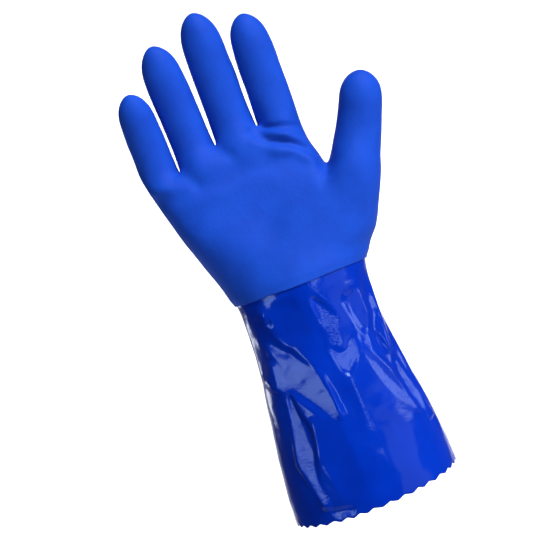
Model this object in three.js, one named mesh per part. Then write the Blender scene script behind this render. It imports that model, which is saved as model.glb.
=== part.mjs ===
// A gauntlet work glove for the right hand, dipped in PVC: a smooth glossy gauntlet, and over its
// upper edge the matt coating of the hand with its five hollow fingers. The palm faces -Y, the
// thumb is towards +X, the fingers point along +Z, and the origin is the middle of the cuff's mouth.
// Lengths are in millimetres, angles in degrees.

import * as THREE from "three";

// Gauntlet: its length up to the edge of the hand's coating, and three oval sections.
const gauntletLength = 132;
const hemWidth = 103;
const hemDepth = 86;
const hemSlope = 3.2; // the hem is lower at the palm side and higher at the back, by this much
const hemLean = 2; // and higher at the thumb side
const waistWidth = 79; // the narrowest place
const waistDepth = 60;
const waistOffset = 1; // its middle lies towards the thumb
const gauntletWall = 1.1;
const foldHeight = 3.2; // the highest fold stands this far off the wall
const toothPitch = 8.6;
const toothDepth = 1.6;

// Hand: the wrist section at the coating's edge, the palm and the root of the thumb.
const handWall = 1.4;
const lap = 8; // the coating covers this much of the gauntlet's upper edge
const lapGap = 0.3;
const lapDepth = 0.93; // the wrist's depth at the lap's top, as a share of its depth at the edge
const lapSpread = 0.8; // how soon the side away from the thumb starts to spread over the lap
const wristWidth = 85.5;
const wristDepth = 61;
const wristOffset = 1.75;
const palmLength = 94; // from the coating's edge to the crotch beside the middle finger
const palmDepth = 38;
const palmHollow = 2; // the middle of the palm is this much deeper
const upperHollow = 0.5; // the share of it that is left above the thumb's crotch
const knuckleOffset = -15.2; // the four fingers' middle lies away from the thumb
const thumbRootHeight = 48; // its outer side, above the coating's edge
const thumbRootReach = 70.5; // and across from the glove's axis
const thumbCrotchHeight = 61.5;
const thumbCrotchReach = 41.5;
const thumbForward = 8; // the thumb's root lies this far in front of the palm's middle
const thumbLength = 54;
const thumbWidth = 27;
const thumbDepth = 25;
const thumbRootLean = 30; // degrees towards +X at the root
const thumbTipLean = 17; // and at the tip
const thumbCurl = 12; // the tip bends forward by this much

// Fingers: sizes of the middle finger, which the others share in.
const fingerLength = 76.5;
const fingerWidth = 25.4;
const fingerDepth = 23.5;
const fingerGap = 1.4;
const fingerCurl = 17; // the tips bend towards the palm by this much
const crotchDepth = 0.78; // the web's depth between two fingers, as a share of a finger's
const tipDepth = 0.86; // a fingertip's depth, as a share of its root's
const curlPower = 1.7; // 1 leans a finger straight, and more bends it near its tip

// The thumb's width and depth at its root and tip, as shares of thumbWidth and thumbDepth, where
// along it the width has narrowed, and how far forward its web lies, as a share of thumbForward.
const thumbShape = {
  rootWidth: 1.1,
  tipWidth: 0.96,
  narrowAt: 0.6,
  rootDepth: 1.08,
  tipDepth: 0.9,
  webForward: 0.3,
};

// How full a section is: 2 is an oval, and more is flatter in the middle and fuller at its sides.
const wristFullness = 2;
const palmFullness = 2.5;
const knuckleFullness = 2.8;

// Shares of the palm's width where its rows begin to climb to the thumb's side, where the thumb's
// root begins to swing forward, and how wide the narrowing beside the thumb is.
const palmShape = { climbFrom: 0.35, thumbFrom: 0.55, pinchWidth: 0.1 };

// The ring where the fingers part: half depths as shares of a finger's, drops below a finger's root
// as shares of palmLength, and the far left side's inset as a share of the little finger's width.
const rootShape = {
  middleDepth: 1.08,
  cornerDepth: 0.72,
  frontDrop: 0.02,
  backDrop: 0.025,
  webBackDrop: 0.05,
  thumbSideDrop: 0.045,
  littleSideDrop: 0.02,
  littleSideInset: 0.08,
};

// One row for each finger, from the little finger to the index finger. length and width are shares
// of the middle finger's, base is the root's height as a share of palmLength, lean is in degrees
// away from the thumb, and taper is the share of its width that a finger loses towards its tip.
const fingers = [
  { name: "little", length: 0.73, width: 0.9, base: 0.876, lean: 0.6, taper: 0.09, curl: 1.1 },
  { name: "ring", length: 0.934, width: 0.955, base: 0.945, lean: 2.2, taper: 0.03, curl: 1.05 },
  { name: "middle", length: 1, width: 1, base: 1, lean: 0, taper: 0.03, curl: 1 },
  { name: "index", length: 0.93, width: 0.985, base: 0.95, lean: -0.8, taper: 0.06, curl: 0.8 },
];

// The height of the web beside each finger on its thumb side, as a share of palmLength.
const webHeights = [0.92, 1.0, 1.02];

// Where a digit's rings lie along it, and where its round tip begins.
const ringPlaces = [0.15, 0.38, 0.61, 0.8, 0.93];
const tipStart = 0.7;

// The palm's rows between the coating's edge (0) and the thumb's crotch, then up to the fingers.
// leftOut and rightOut are how far a side has moved from the wrist (0) to its upper place (1), and
// rightIn how far from the knuckles (0) to the thumb's crotch (1). leftUp and rightUp are heights as
// shares of palmLength, deep is the share still taken from the wrist's depth, pinch narrows the web
// beside the thumb, and thin is the share taken off palmDepth.
const lowerRows = [
  { leftOut: 0.21, rightOut: 0.43, leftUp: 0.213, rightUp: 0.172, deep: 0.58, pinch: 0 },
  { leftOut: 0.4, rightOut: 0.62, leftUp: 0.355, rightUp: 0.275, deep: 0.36, pinch: 0.06 },
  { leftOut: 0.57, rightOut: 0.81, leftUp: 0.5, rightUp: 0.39, deep: 0.18, pinch: 0.16 },
  { leftOut: 0.69, rightOut: 0.99, leftUp: 0.615, rightUp: 0.51, deep: 0.07, pinch: 0.3 },
];
const upperRows = [
  { leftOut: 0.78, leftUp: 0.7, rightUp: 0.72, rightIn: 0.58, thin: 0.09 },
  { leftOut: 0.86, leftUp: 0.782, rightUp: 0.8, rightIn: 0.2, thin: 0.2 },
];

// Rows of the gauntlet from its upper edge down. up is a share of gauntletLength, flare runs from
// the waist's section (0) to the hem's (1), and wrist is the share still taken from the wrist.
const gauntletRows = [
  { up: 0.975, flare: 0, wrist: 0.72 },
  { up: 0.93, flare: 0, wrist: 0.3 },
  { up: 0.87, flare: 0, wrist: 0.07 },
  { up: 0.8, flare: 0.01, wrist: 0 },
  { up: 0.73, flare: 0.07, wrist: 0 },
  { up: 0.66, flare: 0.17, wrist: 0 },
  { up: 0.59, flare: 0.29, wrist: 0 },
  { up: 0.52, flare: 0.41, wrist: 0 },
  { up: 0.45, flare: 0.52, wrist: 0 },
  { up: 0.38, flare: 0.63, wrist: 0 },
  { up: 0.31, flare: 0.73, wrist: 0 },
  { up: 0.24, flare: 0.82, wrist: 0 },
  { up: 0.17, flare: 0.9, wrist: 0 },
  { up: 0.1, flare: 0.96, wrist: 0 },
  { up: 0.045, flare: 1, wrist: 0 },
];

// Soft forms of the hand: pads, hollows and creases, each along a line from one place to another.
// Places are given across the knuckles, as shares of their width from the little finger's side,
// and up from the coating's edge, as shares of palmLength. width is half its width and rise its
// height, both in mm, and side is -1 on the palm and 1 on the back.
const forms = [
  { name: "thumb_ball", across: [0.98, 1.12], up: [0.3, 0.52], width: 20, rise: 5.5, side: -1 },
  { name: "little_ball", across: [0.3, 0.2], up: [0.28, 0.5], width: 17, rise: 3.5, side: -1 },
  { name: "heel_hollow", across: [0.6, 0.62], up: [0.22, 0.42], width: 11, rise: -1.6, side: -1 },
  { name: "finger_pads", across: [0.16, 0.34], up: [0.8, 0.87], width: 8, rise: 1.8, side: -1 },
  { name: "middle_pad", across: [0.46, 0.66], up: [0.89, 0.9], width: 8, rise: 1.6, side: -1 },
  { name: "index_pad", across: [0.82, 0.98], up: [0.82, 0.75], width: 7, rise: 2.2, side: -1 },
  { name: "upper_crease", across: [0.77, 0.97], up: [0.975, 0.915], width: 3.6, rise: 1.4, side: -1 },
  { name: "crease_groove", across: [0.8, 1.0], up: [0.915, 0.86], width: 3.2, rise: -1.5, side: -1 },
  { name: "lower_crease", across: [0.74, 0.94], up: [0.93, 0.86], width: 3.4, rise: 1.2, side: -1 },
  { name: "little_knuckle", across: [0.11, 0.13], up: [0.8, 0.85], width: 9, rise: 1.6, side: 1 },
  { name: "ring_knuckle", across: [0.35, 0.36], up: [0.86, 0.92], width: 9, rise: 1.8, side: 1 },
  { name: "middle_knuckle", across: [0.61, 0.61], up: [0.9, 0.96], width: 9, rise: 2, side: 1 },
  { name: "index_knuckle", across: [0.87, 0.86], up: [0.84, 0.9], width: 9, rise: 1.8, side: 1 },
  { name: "back_hollow", across: [1.02, 1.08], up: [0.5, 0.62], width: 12, rise: -2.2, side: 1 },
];

// Folds of the gauntlet. A fold's crest runs from the angle top to the angle bottom, in degrees
// round the cuff from the middle of the palm side towards the thumb, and a bend above 1 brings it
// to the lower angle early. from and to are shares of gauntletLength, width is half its width in
// degrees, and rise is a share of foldHeight.
const folds = [
  { name: "middle_valley", top: -6, bottom: 2, bend: 1, from: 0.2, to: 0.98, width: 9, rise: -0.2 },
  { name: "slant_ridge", top: -45, bottom: -7, bend: 2.5, from: 0.27, to: 0.8, width: 12, rise: 0.25 },
  { name: "palm_dent", top: -12, bottom: -18, bend: 1, from: 0.74, to: 0.98, width: 13, rise: -0.3 },
  { name: "slant_flat", top: -42, bottom: -18, bend: 1, from: 0.42, to: 0.78, width: 14, rise: -0.3 },
  { name: "low_valley", top: -22, bottom: -16, bend: 1, from: 0, to: 0.5, width: 12, rise: -0.25 },
  { name: "thumb_ridge", top: 28, bottom: 62, bend: 1, from: 0.2, to: 0.72, width: 9, rise: 0.3 },
  { name: "thumb_groove", top: 66, bottom: 42, bend: 1, from: 0.5, to: 0.98, width: 7, rise: -0.5 },
  { name: "thumb_pleat", top: 78, bottom: 74, bend: 1, from: 0.1, to: 0.9, width: 6, rise: 0.35 },
  { name: "side_pleat", top: -84, bottom: -78, bend: 1, from: 0.6, to: 0.98, width: 10, rise: 0.25 },
  { name: "thumb_hollow", top: 94, bottom: 94, bend: 1, from: 0.3, to: 0.95, width: 20, rise: -0.4 },
  { name: "back_ridge", top: 165, bottom: 190, bend: 1, from: 0.2, to: 0.9, width: 18, rise: 0.8 },
  { name: "back_valley", top: 205, bottom: 222, bend: 1, from: 0.15, to: 0.95, width: 15, rise: -0.8 },
  { name: "back_groove", top: 130, bottom: 140, bend: 1, from: 0.25, to: 0.98, width: 14, rise: -0.7 },
];

// A fold grows over the first of these shares of its length and dies out after the second.
const foldFade = { grown: 0.22, dyingFrom: 0.7 };

const lerp = THREE.MathUtils.lerp;
const smoothstep = THREE.MathUtils.smoothstep;
const radians = THREE.MathUtils.degToRad;
const point = (x, y, z) => new THREE.Vector3(x, y, z);

// The digit ring has eight points, the first at its palm side away from the thumb.
const DIGIT_ANGLES = [225, 270, 315, 0, 45, 90, 135, 180].map(radians);

// The glove's own cage: a quad mesh whose subdivided points pass through these targets.
const targets = [];
const quads = [];
const add = (p) => targets.push(p) - 1;

// Joins two rings of the same count by quads that face outwards.
function joinRings(lower, upper) {
  for (let i = 0; i < lower.length; i++) {
    const j = (i + 1) % lower.length;
    quads.push([lower[i], lower[j], upper[j], upper[i]]);
  }
}

// How full a section is at the share u of its width: 0 at both sides and 1 in the middle.
function fullness(u, power) {
  const t = Math.min(1, Math.abs(2 * u - 1));
  return Math.pow(1 - Math.pow(t, power), 1 / power);
}

// Across the knuckles: the edges and middles of the four fingers, from the little finger on.
const widths = fingers.map((f) => f.width * fingerWidth);
const knuckleWidth = widths.reduce((a, b) => a + b, 0) + fingerGap * (fingers.length - 1);
const knuckleLeft = knuckleOffset - knuckleWidth / 2;
const middles = [];
const webs = [];
widths.reduce((left, width) => {
  middles.push(left + width / 2);
  webs.push(left + width + fingerGap / 2);
  return left + width + fingerGap;
}, knuckleLeft);
const knuckleRight = knuckleLeft + knuckleWidth;
const SHOULDER = 0.15; // a corner column lies this share of a finger's width in from its side
const columns = fingers.flatMap((f, i) => [
  i === 0 ? knuckleLeft + SHOULDER * widths[0] : webs[i - 1],
  middles[i],
]);
columns.push(knuckleRight - SHOULDER * widths[fingers.length - 1]);
const columnShares = columns.map((x) => (x - knuckleLeft) / knuckleWidth);

// The wrist's section: an oval in 24 columns, with a side at the first and the thirteenth.
const SIDE_COLUMNS = 12;
const wristShares = Array.from(
  { length: SIDE_COLUMNS - 1 },
  (_, k) => (1 - Math.cos((Math.PI * (k + 1)) / SIDE_COLUMNS)) / 2,
);
const wristLeft = wristOffset - wristWidth / 2;
const wristRight = wristOffset + wristWidth / 2;

// At the thumb's crotch: where each column lies, as a share of the whole width.
const splitRow = lowerRows[lowerRows.length - 1];
const splitLeft = lerp(wristLeft, knuckleLeft, splitRow.leftOut);
const splitWidth = thumbRootReach - splitLeft;
const crotchShare = (thumbCrotchReach - splitLeft) / splitWidth;
const THUMB_FRONT = [0.5, 0.86]; // the thumb's two palm-side columns, across its root
const splitShares = [
  ...columnShares.map((s) => s * crotchShare),
  ...THUMB_FRONT.map((s) => lerp(crotchShare, 1, s)),
];

// A ring of the lower palm, with the thumb's root in it. blend goes from the wrist to the crotch.
function lowerRing(row, blend) {
  const left = lerp(wristLeft, knuckleLeft, row.leftOut);
  const right = lerp(wristRight, thumbRootReach, row.rightOut);
  const power = lerp(wristFullness, palmFullness, blend);
  const place = (u, side) => {
    const up = lerp(row.leftUp, row.rightUp, smoothstep(u, palmShape.climbFrom, 1)) * palmLength;
    const half = lerp(palmDepth, wristDepth, row.deep) / 2;
    const web = 1 - row.pinch * Math.exp(-(((u - crotchShare) / palmShape.pinchWidth) ** 2));
    const inPalm = Math.min(1, u / crotchShare);
    const hollow = side < 0 ? palmHollow * blend * fullness(inPalm, wristFullness) : 0;
    const middle = -thumbForward * smoothstep(u, palmShape.thumbFrom, 1) * blend;
    const depth = half * fullness(u, power) * web - hollow;
    return point(lerp(left, right, u), middle + side * depth, gauntletLength + up);
  };
  const shares = wristShares.map((w, i) => lerp(w, splitShares[i], blend));
  return [
    ...shares.map((u) => place(u, -1)),
    place(1, 0),
    ...shares.map((u) => place(u, 1)).reverse(),
    place(0, 0),
  ];
}

// A ring of the upper palm, from the thumb's crotch to the fingers.
function upperRing(row) {
  const left = lerp(wristLeft, knuckleLeft, row.leftOut);
  const right = lerp(knuckleRight, thumbCrotchReach, row.rightIn);
  const place = (u, side) => {
    const up = lerp(row.leftUp, row.rightUp, u) * palmLength;
    const hollow = side < 0 ? palmHollow * upperHollow * fullness(u, wristFullness) : 0;
    const depth = (palmDepth / 2) * (1 - row.thin) * fullness(u, knuckleFullness) - hollow;
    return point(lerp(left, right, u), side * depth, gauntletLength + up);
  };
  return [
    ...columnShares.map((u) => place(u, -1)),
    place(1, 0),
    ...columnShares.map((u) => place(u, 1)).reverse(),
    place(0, 0),
  ];
}

// Rings and the round tip of one digit above its root ring, along a centre line path(t).
function growDigit(rootRing, path, across, widthAt, depthAt) {
  let last = rootRing;
  for (const t of ringPlaces) {
    const middle = path(t);
    const along = path(Math.min(1, t + 0.02)).sub(path(t - 0.02)).normalize();
    const side = across.clone().addScaledVector(along, -across.dot(along)).normalize();
    const back = along.clone().cross(side);
    const full = t < tipStart ? 1 : Math.sqrt(1 - ((t - tipStart) / (1 - tipStart)) ** 2);
    const ring = DIGIT_ANGLES.map((a) =>
      add(
        middle
          .clone()
          .addScaledVector(side, (Math.cos(a) * full * widthAt(t)) / 2)
          .addScaledVector(back, (Math.sin(a) * full * depthAt(t)) / 2),
      ),
    );
    joinRings(last, ring);
    last = ring;
  }
  const tip = add(path(1));
  const [a, b, c, d, e, f, g, h] = last;
  quads.push([h, a, b, tip], [b, c, d, tip], [d, e, f, tip], [f, g, h, tip]);
}

// The wrist's oval at a height above the coating's edge.
function wristRing(up, widen, deepen) {
  return wristShares
    .map((u) => [u, -1])
    .concat([[1, 0]], wristShares.map((u) => [u, 1]).reverse(), [[0, 0]])
    .map(([u, side]) =>
      point(
        lerp(wristLeft - widen.left, wristRight + widen.right, u),
        (side * fullness(u, wristFullness) * wristDepth * deepen) / 2,
        gauntletLength + up,
      ),
    );
}

// The hand's cage, ring by ring.
const addRing = (ring) => ring.map(add);
const first = lowerRows[0];
const lapShare = Math.min(1, lap / (first.leftUp * palmLength));
const lapWiden = {
  left: (wristLeft - knuckleLeft) * first.leftOut * lapShare * lapSpread,
  right: (thumbRootReach - wristRight) * first.rightOut * lapShare,
};
const edgeRing = addRing(wristRing(0, { left: 0, right: 0 }, 1));
const lapRing = addRing(wristRing(lap, lapWiden, lapDepth));
joinRings(edgeRing, lapRing);
let below = lapRing;
lowerRows.forEach((row, i) => {
  const ring = addRing(lowerRing(row, (i + 1) / lowerRows.length));
  joinRings(below, ring);
  below = ring;
});

// At the crotch the ring parts into the palm's and the thumb's, which share a new middle point.
const PALM_COLUMNS = 9;
const thumbWeb = add(
  point(
    thumbCrotchReach,
    -thumbForward * thumbShape.webForward,
    gauntletLength + thumbCrotchHeight,
  ),
);
const ringEnd = below.length;
const backFirst = ringEnd - 1 - PALM_COLUMNS;
const thumbRing = [...below.slice(PALM_COLUMNS - 1, backFirst + 1), thumbWeb];
const palmRing = [...below.slice(0, PALM_COLUMNS), thumbWeb, ...below.slice(backFirst)];
let palm = palmRing;
for (const row of upperRows) {
  const ring = addRing(upperRing(row));
  joinRings(palm, ring);
  palm = ring;
}

// The roots of the four fingers, on one ring with three webs across it.
const rootHeight = (i) => gauntletLength + fingers[i].base * palmLength;
const webHeight = (i) => gauntletLength + webHeights[i] * palmLength;
const rootPoint = (k, side) => {
  const i = Math.min(fingers.length - 1, Math.floor(k / 2));
  const isWeb = k % 2 === 0 && k > 0 && k < PALM_COLUMNS - 1;
  const isCorner = k === 0 || k === PALM_COLUMNS - 1;
  const fingerShare = isCorner ? rootShape.cornerDepth : rootShape.middleDepth;
  const half = (fingerDepth / 2) * (isWeb ? crotchDepth : fingerShare);
  const backDrop = isWeb ? rootShape.webBackDrop : rootShape.backDrop;
  const drop = side < 0 ? rootShape.frontDrop : backDrop;
  const height = (isWeb ? webHeight(k / 2 - 1) : rootHeight(i)) - drop * palmLength;
  return point(columns[k], side * half, height);
};
const rootRing = addRing([
  ...columns.map((_, k) => rootPoint(k, -1)),
  point(knuckleRight, 0, rootHeight(fingers.length - 1) - rootShape.thumbSideDrop * palmLength),
  ...columns.map((_, k) => rootPoint(k, 1)).reverse(),
  point(
    knuckleLeft + rootShape.littleSideInset * widths[0],
    0,
    rootHeight(0) - rootShape.littleSideDrop * palmLength,
  ),
]);
joinRings(palm, rootRing);
const webMiddles = webHeights.map((_, i) => add(point(webs[i], 0, webHeight(i))));
const RIGHT_SIDE = PALM_COLUMNS;
const LEFT_SIDE = rootRing.length - 1;
const backOf = (k) => rootRing[LEFT_SIDE - 1 - k];

fingers.forEach((finger, i) => {
  const ring = [
    rootRing[2 * i],
    rootRing[2 * i + 1],
    rootRing[2 * i + 2],
    i === fingers.length - 1 ? rootRing[RIGHT_SIDE] : webMiddles[i],
    backOf(2 * i + 2),
    backOf(2 * i + 1),
    backOf(2 * i),
    i === 0 ? rootRing[LEFT_SIDE] : webMiddles[i - 1],
  ];
  const length = finger.length * fingerLength;
  const lean = Math.tan(radians(finger.lean));
  const path = (t) =>
    point(
      middles[i] - lean * length * t,
      -finger.curl * fingerCurl * Math.pow(Math.max(0, t), curlPower),
      rootHeight(i) + length * t,
    );
  const narrow = (t) => 1 - finger.taper * t * t;
  growDigit(
    ring,
    path,
    point(1, 0, 0),
    (t) => widths[i] * narrow(t),
    (t) => fingerDepth * finger.width * narrow(t) * lerp(1, tipDepth, t),
  );
});

// The thumb leans out of the palm and bends a little forward.
const thumbStart = point(
  (thumbCrotchReach + thumbRootReach) / 2,
  -thumbForward,
  gauntletLength + (thumbCrotchHeight + thumbRootHeight) / 2,
);
const leaning = (degrees, length) =>
  point(Math.sin(radians(degrees)), 0, Math.cos(radians(degrees))).multiplyScalar(length);
const thumbBend = thumbStart.clone().add(leaning(thumbRootLean, thumbLength / 2));
const thumbTip = thumbBend.clone().add(leaning(thumbTipLean, thumbLength / 2));
thumbTip.y -= thumbCurl;
const thumbCurve = new THREE.QuadraticBezierCurve3(thumbStart, thumbBend, thumbTip);
growDigit(
  thumbRing,
  (t) => thumbCurve.getPoint(Math.max(0, t)),
  point(1, 0, 0),
  (t) => {
    const narrowed = smoothstep(t, 0, thumbShape.narrowAt);
    return thumbWidth * lerp(thumbShape.rootWidth, thumbShape.tipWidth, narrowed);
  },
  (t) => thumbDepth * lerp(thumbShape.rootDepth, thumbShape.tipDepth, t),
);

// One step of subdivision: a point for each corner, edge and face, and four quads for each quad.
function subdivide(points, faces) {
  const edges = new Map();
  const edgeOf = (a, b) => edges.get(a < b ? `${a} ${b}` : `${b} ${a}`);
  const facePoints = faces.map((f) =>
    f.reduce((sum, v) => sum.add(points[v]), point(0, 0, 0)).divideScalar(f.length),
  );
  const around = points.map(() => ({ faces: [], edges: [] }));
  faces.forEach((f, n) => {
    f.forEach((a, i) => {
      const b = f[(i + 1) % f.length];
      around[a].faces.push(n);
      const key = a < b ? `${a} ${b}` : `${b} ${a}`;
      if (!edges.has(key)) {
        edges.set(key, { ends: [a, b], faces: [] });
        around[a].edges.push(key);
        around[b].edges.push(key);
      }
      edges.get(key).faces.push(n);
    });
  });
  const result = points.map((p, v) => {
    const near = around[v].edges.map((key) => edges.get(key));
    const rim = near.filter((e) => e.faces.length === 1);
    const other = (e) => points[e.ends[0] === v ? e.ends[1] : e.ends[0]];
    if (rim.length) {
      const sum = rim.reduce((s, e) => s.add(other(e)), point(0, 0, 0));
      return p.clone().multiplyScalar(0.75).addScaledVector(sum, 0.125);
    }
    const n = near.length;
    const out = p.clone().multiplyScalar((n - 2) / n);
    near.forEach((e) => out.addScaledVector(other(e), 1 / (n * n)));
    around[v].faces.forEach((k) => out.addScaledVector(facePoints[k], 1 / (n * n)));
    return out;
  });
  for (const e of edges.values()) {
    e.index = result.length;
    const sum = points[e.ends[0]].clone().add(points[e.ends[1]]);
    if (e.faces.length === 2) e.faces.forEach((k) => sum.add(facePoints[k]));
    result.push(sum.divideScalar(2 * e.faces.length));
  }
  const faceStart = result.length;
  result.push(...facePoints);
  const newFaces = faces.flatMap((f, n) =>
    f.map((v, i) => [
      v,
      edgeOf(v, f[(i + 1) % f.length]).index,
      faceStart + n,
      edgeOf(f[(i + f.length - 1) % f.length], v).index,
    ]),
  );
  return { points: result, faces: newFaces, edgeOf, faceStart };
}

// Moves the cage out until its subdivided corners lie on the targets.
const FIT_STEPS = 12;
let cage = targets.map((p) => p.clone());
for (let step = 0; step < FIT_STEPS; step++) {
  const smooth = subdivide(cage, quads).points;
  cage = cage.map((p, i) => p.clone().add(targets[i]).sub(smooth[i]));
}
const hand = subdivide(cage, quads);

// Normals of a quad mesh's points, kept level where the mesh ends so that its rim stays flat.
function pointNormals(points, faces, rim) {
  const normals = points.map(() => point(0, 0, 0));
  for (const [a, b, c, d] of faces) {
    const n = points[c].clone().sub(points[a]).cross(points[d].clone().sub(points[b]));
    [a, b, c, d].forEach((v) => normals[v].add(n));
  }
  return normals.map((n, v) => (rim.has(v) ? n.setZ(0) : n).normalize());
}

// A solid from an outer and an inner skin of the same quads, closed along their rims.
function wallGeometry(outer, inner, faces, rims) {
  const shift = outer.length;
  const triangles = [];
  const quad = (a, b, c, d) => triangles.push(a, b, c, a, c, d);
  for (const [a, b, c, d] of faces) {
    quad(a, b, c, d);
    quad(d + shift, c + shift, b + shift, a + shift);
  }
  for (const rim of rims) {
    rim.forEach((a, i) => {
      const b = rim[(i + 1) % rim.length];
      quad(a, a + shift, b + shift, b);
    });
  }
  const flat = [...outer, ...inner].flatMap((p) => p.toArray());
  const geometry = new THREE.BufferGeometry();
  geometry.setAttribute("position", new THREE.Float32BufferAttribute(flat, 3));
  geometry.setIndex(triangles);
  return geometry;
}

// The subdivided rings of the hand at its edge, in the middle of the lap and at its top.
const between = (ring) =>
  ring.flatMap((v, i) => [v, hand.edgeOf(v, ring[(i + 1) % ring.length]).index]);
const edgeLoop = between(edgeRing);
const lapMiddle = edgeRing.flatMap((v, i) => [
  hand.edgeOf(v, lapRing[i]).index,
  hand.faceStart + i,
]);
const lapTop = between(lapRing);

// Raises the soft forms, more where the skin faces them, and nowhere near the coating's edge.
const skinNormals = pointNormals(hand.points, hand.faces, new Set(edgeLoop));
hand.points.forEach((p, v) => {
  const height = p.z - gauntletLength;
  const start = p.clone();
  for (const f of forms) {
    const [from, to] = [0, 1].map((k) =>
      point(knuckleLeft + f.across[k] * knuckleWidth, start.y, gauntletLength + f.up[k] * palmLength),
    );
    const line = new THREE.Line3(from, to);
    const away = line.closestPointToPoint(start, true, point(0, 0, 0)).distanceTo(start);
    const facing = Math.max(0, skinNormals[v].y * f.side) * smoothstep(height, lap, 5 * lap);
    p.y += f.side * f.rise * facing * Math.exp(-((away / f.width) ** 2));
  }
});
const handNormals = pointNormals(hand.points, hand.faces, new Set(edgeLoop));
const inset = (v, depth) => hand.points[v].clone().addScaledVector(handNormals[v], -depth);
const handInner = hand.points.map((_, v) => inset(v, handWall));

// The gauntlet: rings of as many columns as the hand's edge, from the lap down to the hem.
const COLUMNS = edgeLoop.length;
const columnAngle = (i) => 2 * Math.PI * (i / COLUMNS) + Math.PI * (1 + 1 / SIDE_COLUMNS);
const oval = (width, depth, offset, angle) =>
  point(offset + (Math.cos(angle) * width) / 2, (Math.sin(angle) * depth) / 2, 0);
const hemHeight = (angle) => hemSlope * Math.sin(angle) + hemLean * Math.cos(angle);

// How far the folds lift the wall at an angle and a share of the gauntlet's height.
function foldRise(angle, up) {
  const around = THREE.MathUtils.radToDeg(angle) + 90;
  let rise = 0;
  for (const f of folds) {
    const share = THREE.MathUtils.clamp((f.to - up) / (f.to - f.from), 0, 1); // 0 at its top
    const crest = lerp(f.bottom, f.top, Math.pow(1 - share, f.bend));
    const away = THREE.MathUtils.euclideanModulo(around - crest + 180, 360) - 180;
    const fade = smoothstep(share, 0, foldFade.grown) * (1 - smoothstep(share, foldFade.dyingFrom, 1));
    rise += f.rise * fade * Math.exp(-((away / f.width) ** 2));
  }
  return rise * foldHeight;
}

const insetRing = (loop) => loop.map((v) => inset(v, handWall + lapGap));
const edgeInset = insetRing(edgeLoop);
const gauntletRings = [insetRing(lapTop), insetRing(lapMiddle), edgeInset];
for (const row of gauntletRows) {
  gauntletRings.push(
    edgeInset.map((top, i) => {
      const angle = columnAngle(i);
      const waist = oval(waistWidth, waistDepth, waistOffset, angle);
      const p = waist.lerp(oval(hemWidth, hemDepth, 0, angle), row.flare).lerp(top, row.wrist);
      const away = point(Math.cos(angle), Math.sin(angle), 0);
      p.addScaledVector(away, foldRise(angle, row.up) * (1 - row.wrist));
      const low = hemHeight(angle) * (1 - row.up);
      return p.setZ(row.up * gauntletLength + low);
    }),
  );
}

// The hem: a ring of teeth, two points for each, below the last plain ring.
const lastRing = gauntletRings[gauntletRings.length - 1];
const girth = lastRing.reduce((sum, p, i) => sum + p.distanceTo(lastRing[(i + 1) % COLUMNS]), 0);
const teeth = Math.max(3, Math.round(girth / toothPitch));
const hemRing = Array.from({ length: 2 * teeth }, (_, i) => {
  const place = (i / (2 * teeth)) * COLUMNS;
  const column = Math.floor(place);
  const p = lastRing[column].clone().lerp(lastRing[(column + 1) % COLUMNS], place - column);
  return p.setZ(hemHeight(columnAngle(place)) + (i % 2) * toothDepth);
});

// Joins two closed rings of any counts by triangles, the upper one first.
function zip(upper, lower) {
  const triangles = [];
  let i = 0;
  let j = 0;
  while (i < upper.length || j < lower.length) {
    const a = upper[i % upper.length];
    const b = lower[j % lower.length];
    if (j < lower.length && (j + 1) / lower.length <= (i + 1) / upper.length + 1e-9) {
      triangles.push([a, b, lower[(j + 1) % lower.length]]);
      j++;
    } else {
      triangles.push([a, b, upper[(i + 1) % upper.length]]);
      i++;
    }
  }
  return triangles;
}

const gauntletPoints = [...gauntletRings.flat(), ...hemRing];
const ringIndex = (r) => Array.from({ length: COLUMNS }, (_, i) => r * COLUMNS + i);
const hemIndex = hemRing.map((_, i) => gauntletRings.length * COLUMNS + i);
const gauntletFaces = [];
for (let r = 0; r + 1 < gauntletRings.length; r++) {
  const upper = ringIndex(r);
  const lower = ringIndex(r + 1);
  upper.forEach((v, i) => {
    const j = (i + 1) % COLUMNS;
    gauntletFaces.push([lower[i], lower[j], upper[j], v]);
  });
}
const hemTriangles = zip(ringIndex(gauntletRings.length - 1), hemIndex);
gauntletFaces.push(...hemTriangles.map(([a, b, c]) => [a, b, c, c]));

const gauntletRim = new Set([...ringIndex(0), ...hemIndex]);
const gauntletNormals = pointNormals(gauntletPoints, gauntletFaces, gauntletRim);
const gauntletInner = gauntletPoints.map((p, v) =>
  p.clone().addScaledVector(gauntletNormals[v], -gauntletWall),
);

const matt = new THREE.MeshStandardMaterial({ color: 0x1d4cce, roughness: 0.75, metalness: 0 });
const gloss = new THREE.MeshStandardMaterial({ color: 0x022fb7, roughness: 0.22, metalness: 0 });

const handMesh = new THREE.Mesh(
  wallGeometry(hand.points, handInner, hand.faces, [[...edgeLoop]]),
  matt,
);
handMesh.name = "hand";
const gauntletMesh = new THREE.Mesh(
  wallGeometry(gauntletPoints, gauntletInner, gauntletFaces, [
    [...ringIndex(0)].reverse(),
    hemIndex,
  ]),
  gloss,
);
gauntletMesh.name = "gauntlet";

const glove = new THREE.Group();
glove.add(handMesh, gauntletMesh);

export default glove;
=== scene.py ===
import math
from collections import namedtuple
from functools import partial

import bpy
import numpy as np
from bpy.props import FloatProperty, FloatVectorProperty, IntProperty, PointerProperty
from mathutils import Matrix, Vector, noise


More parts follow.
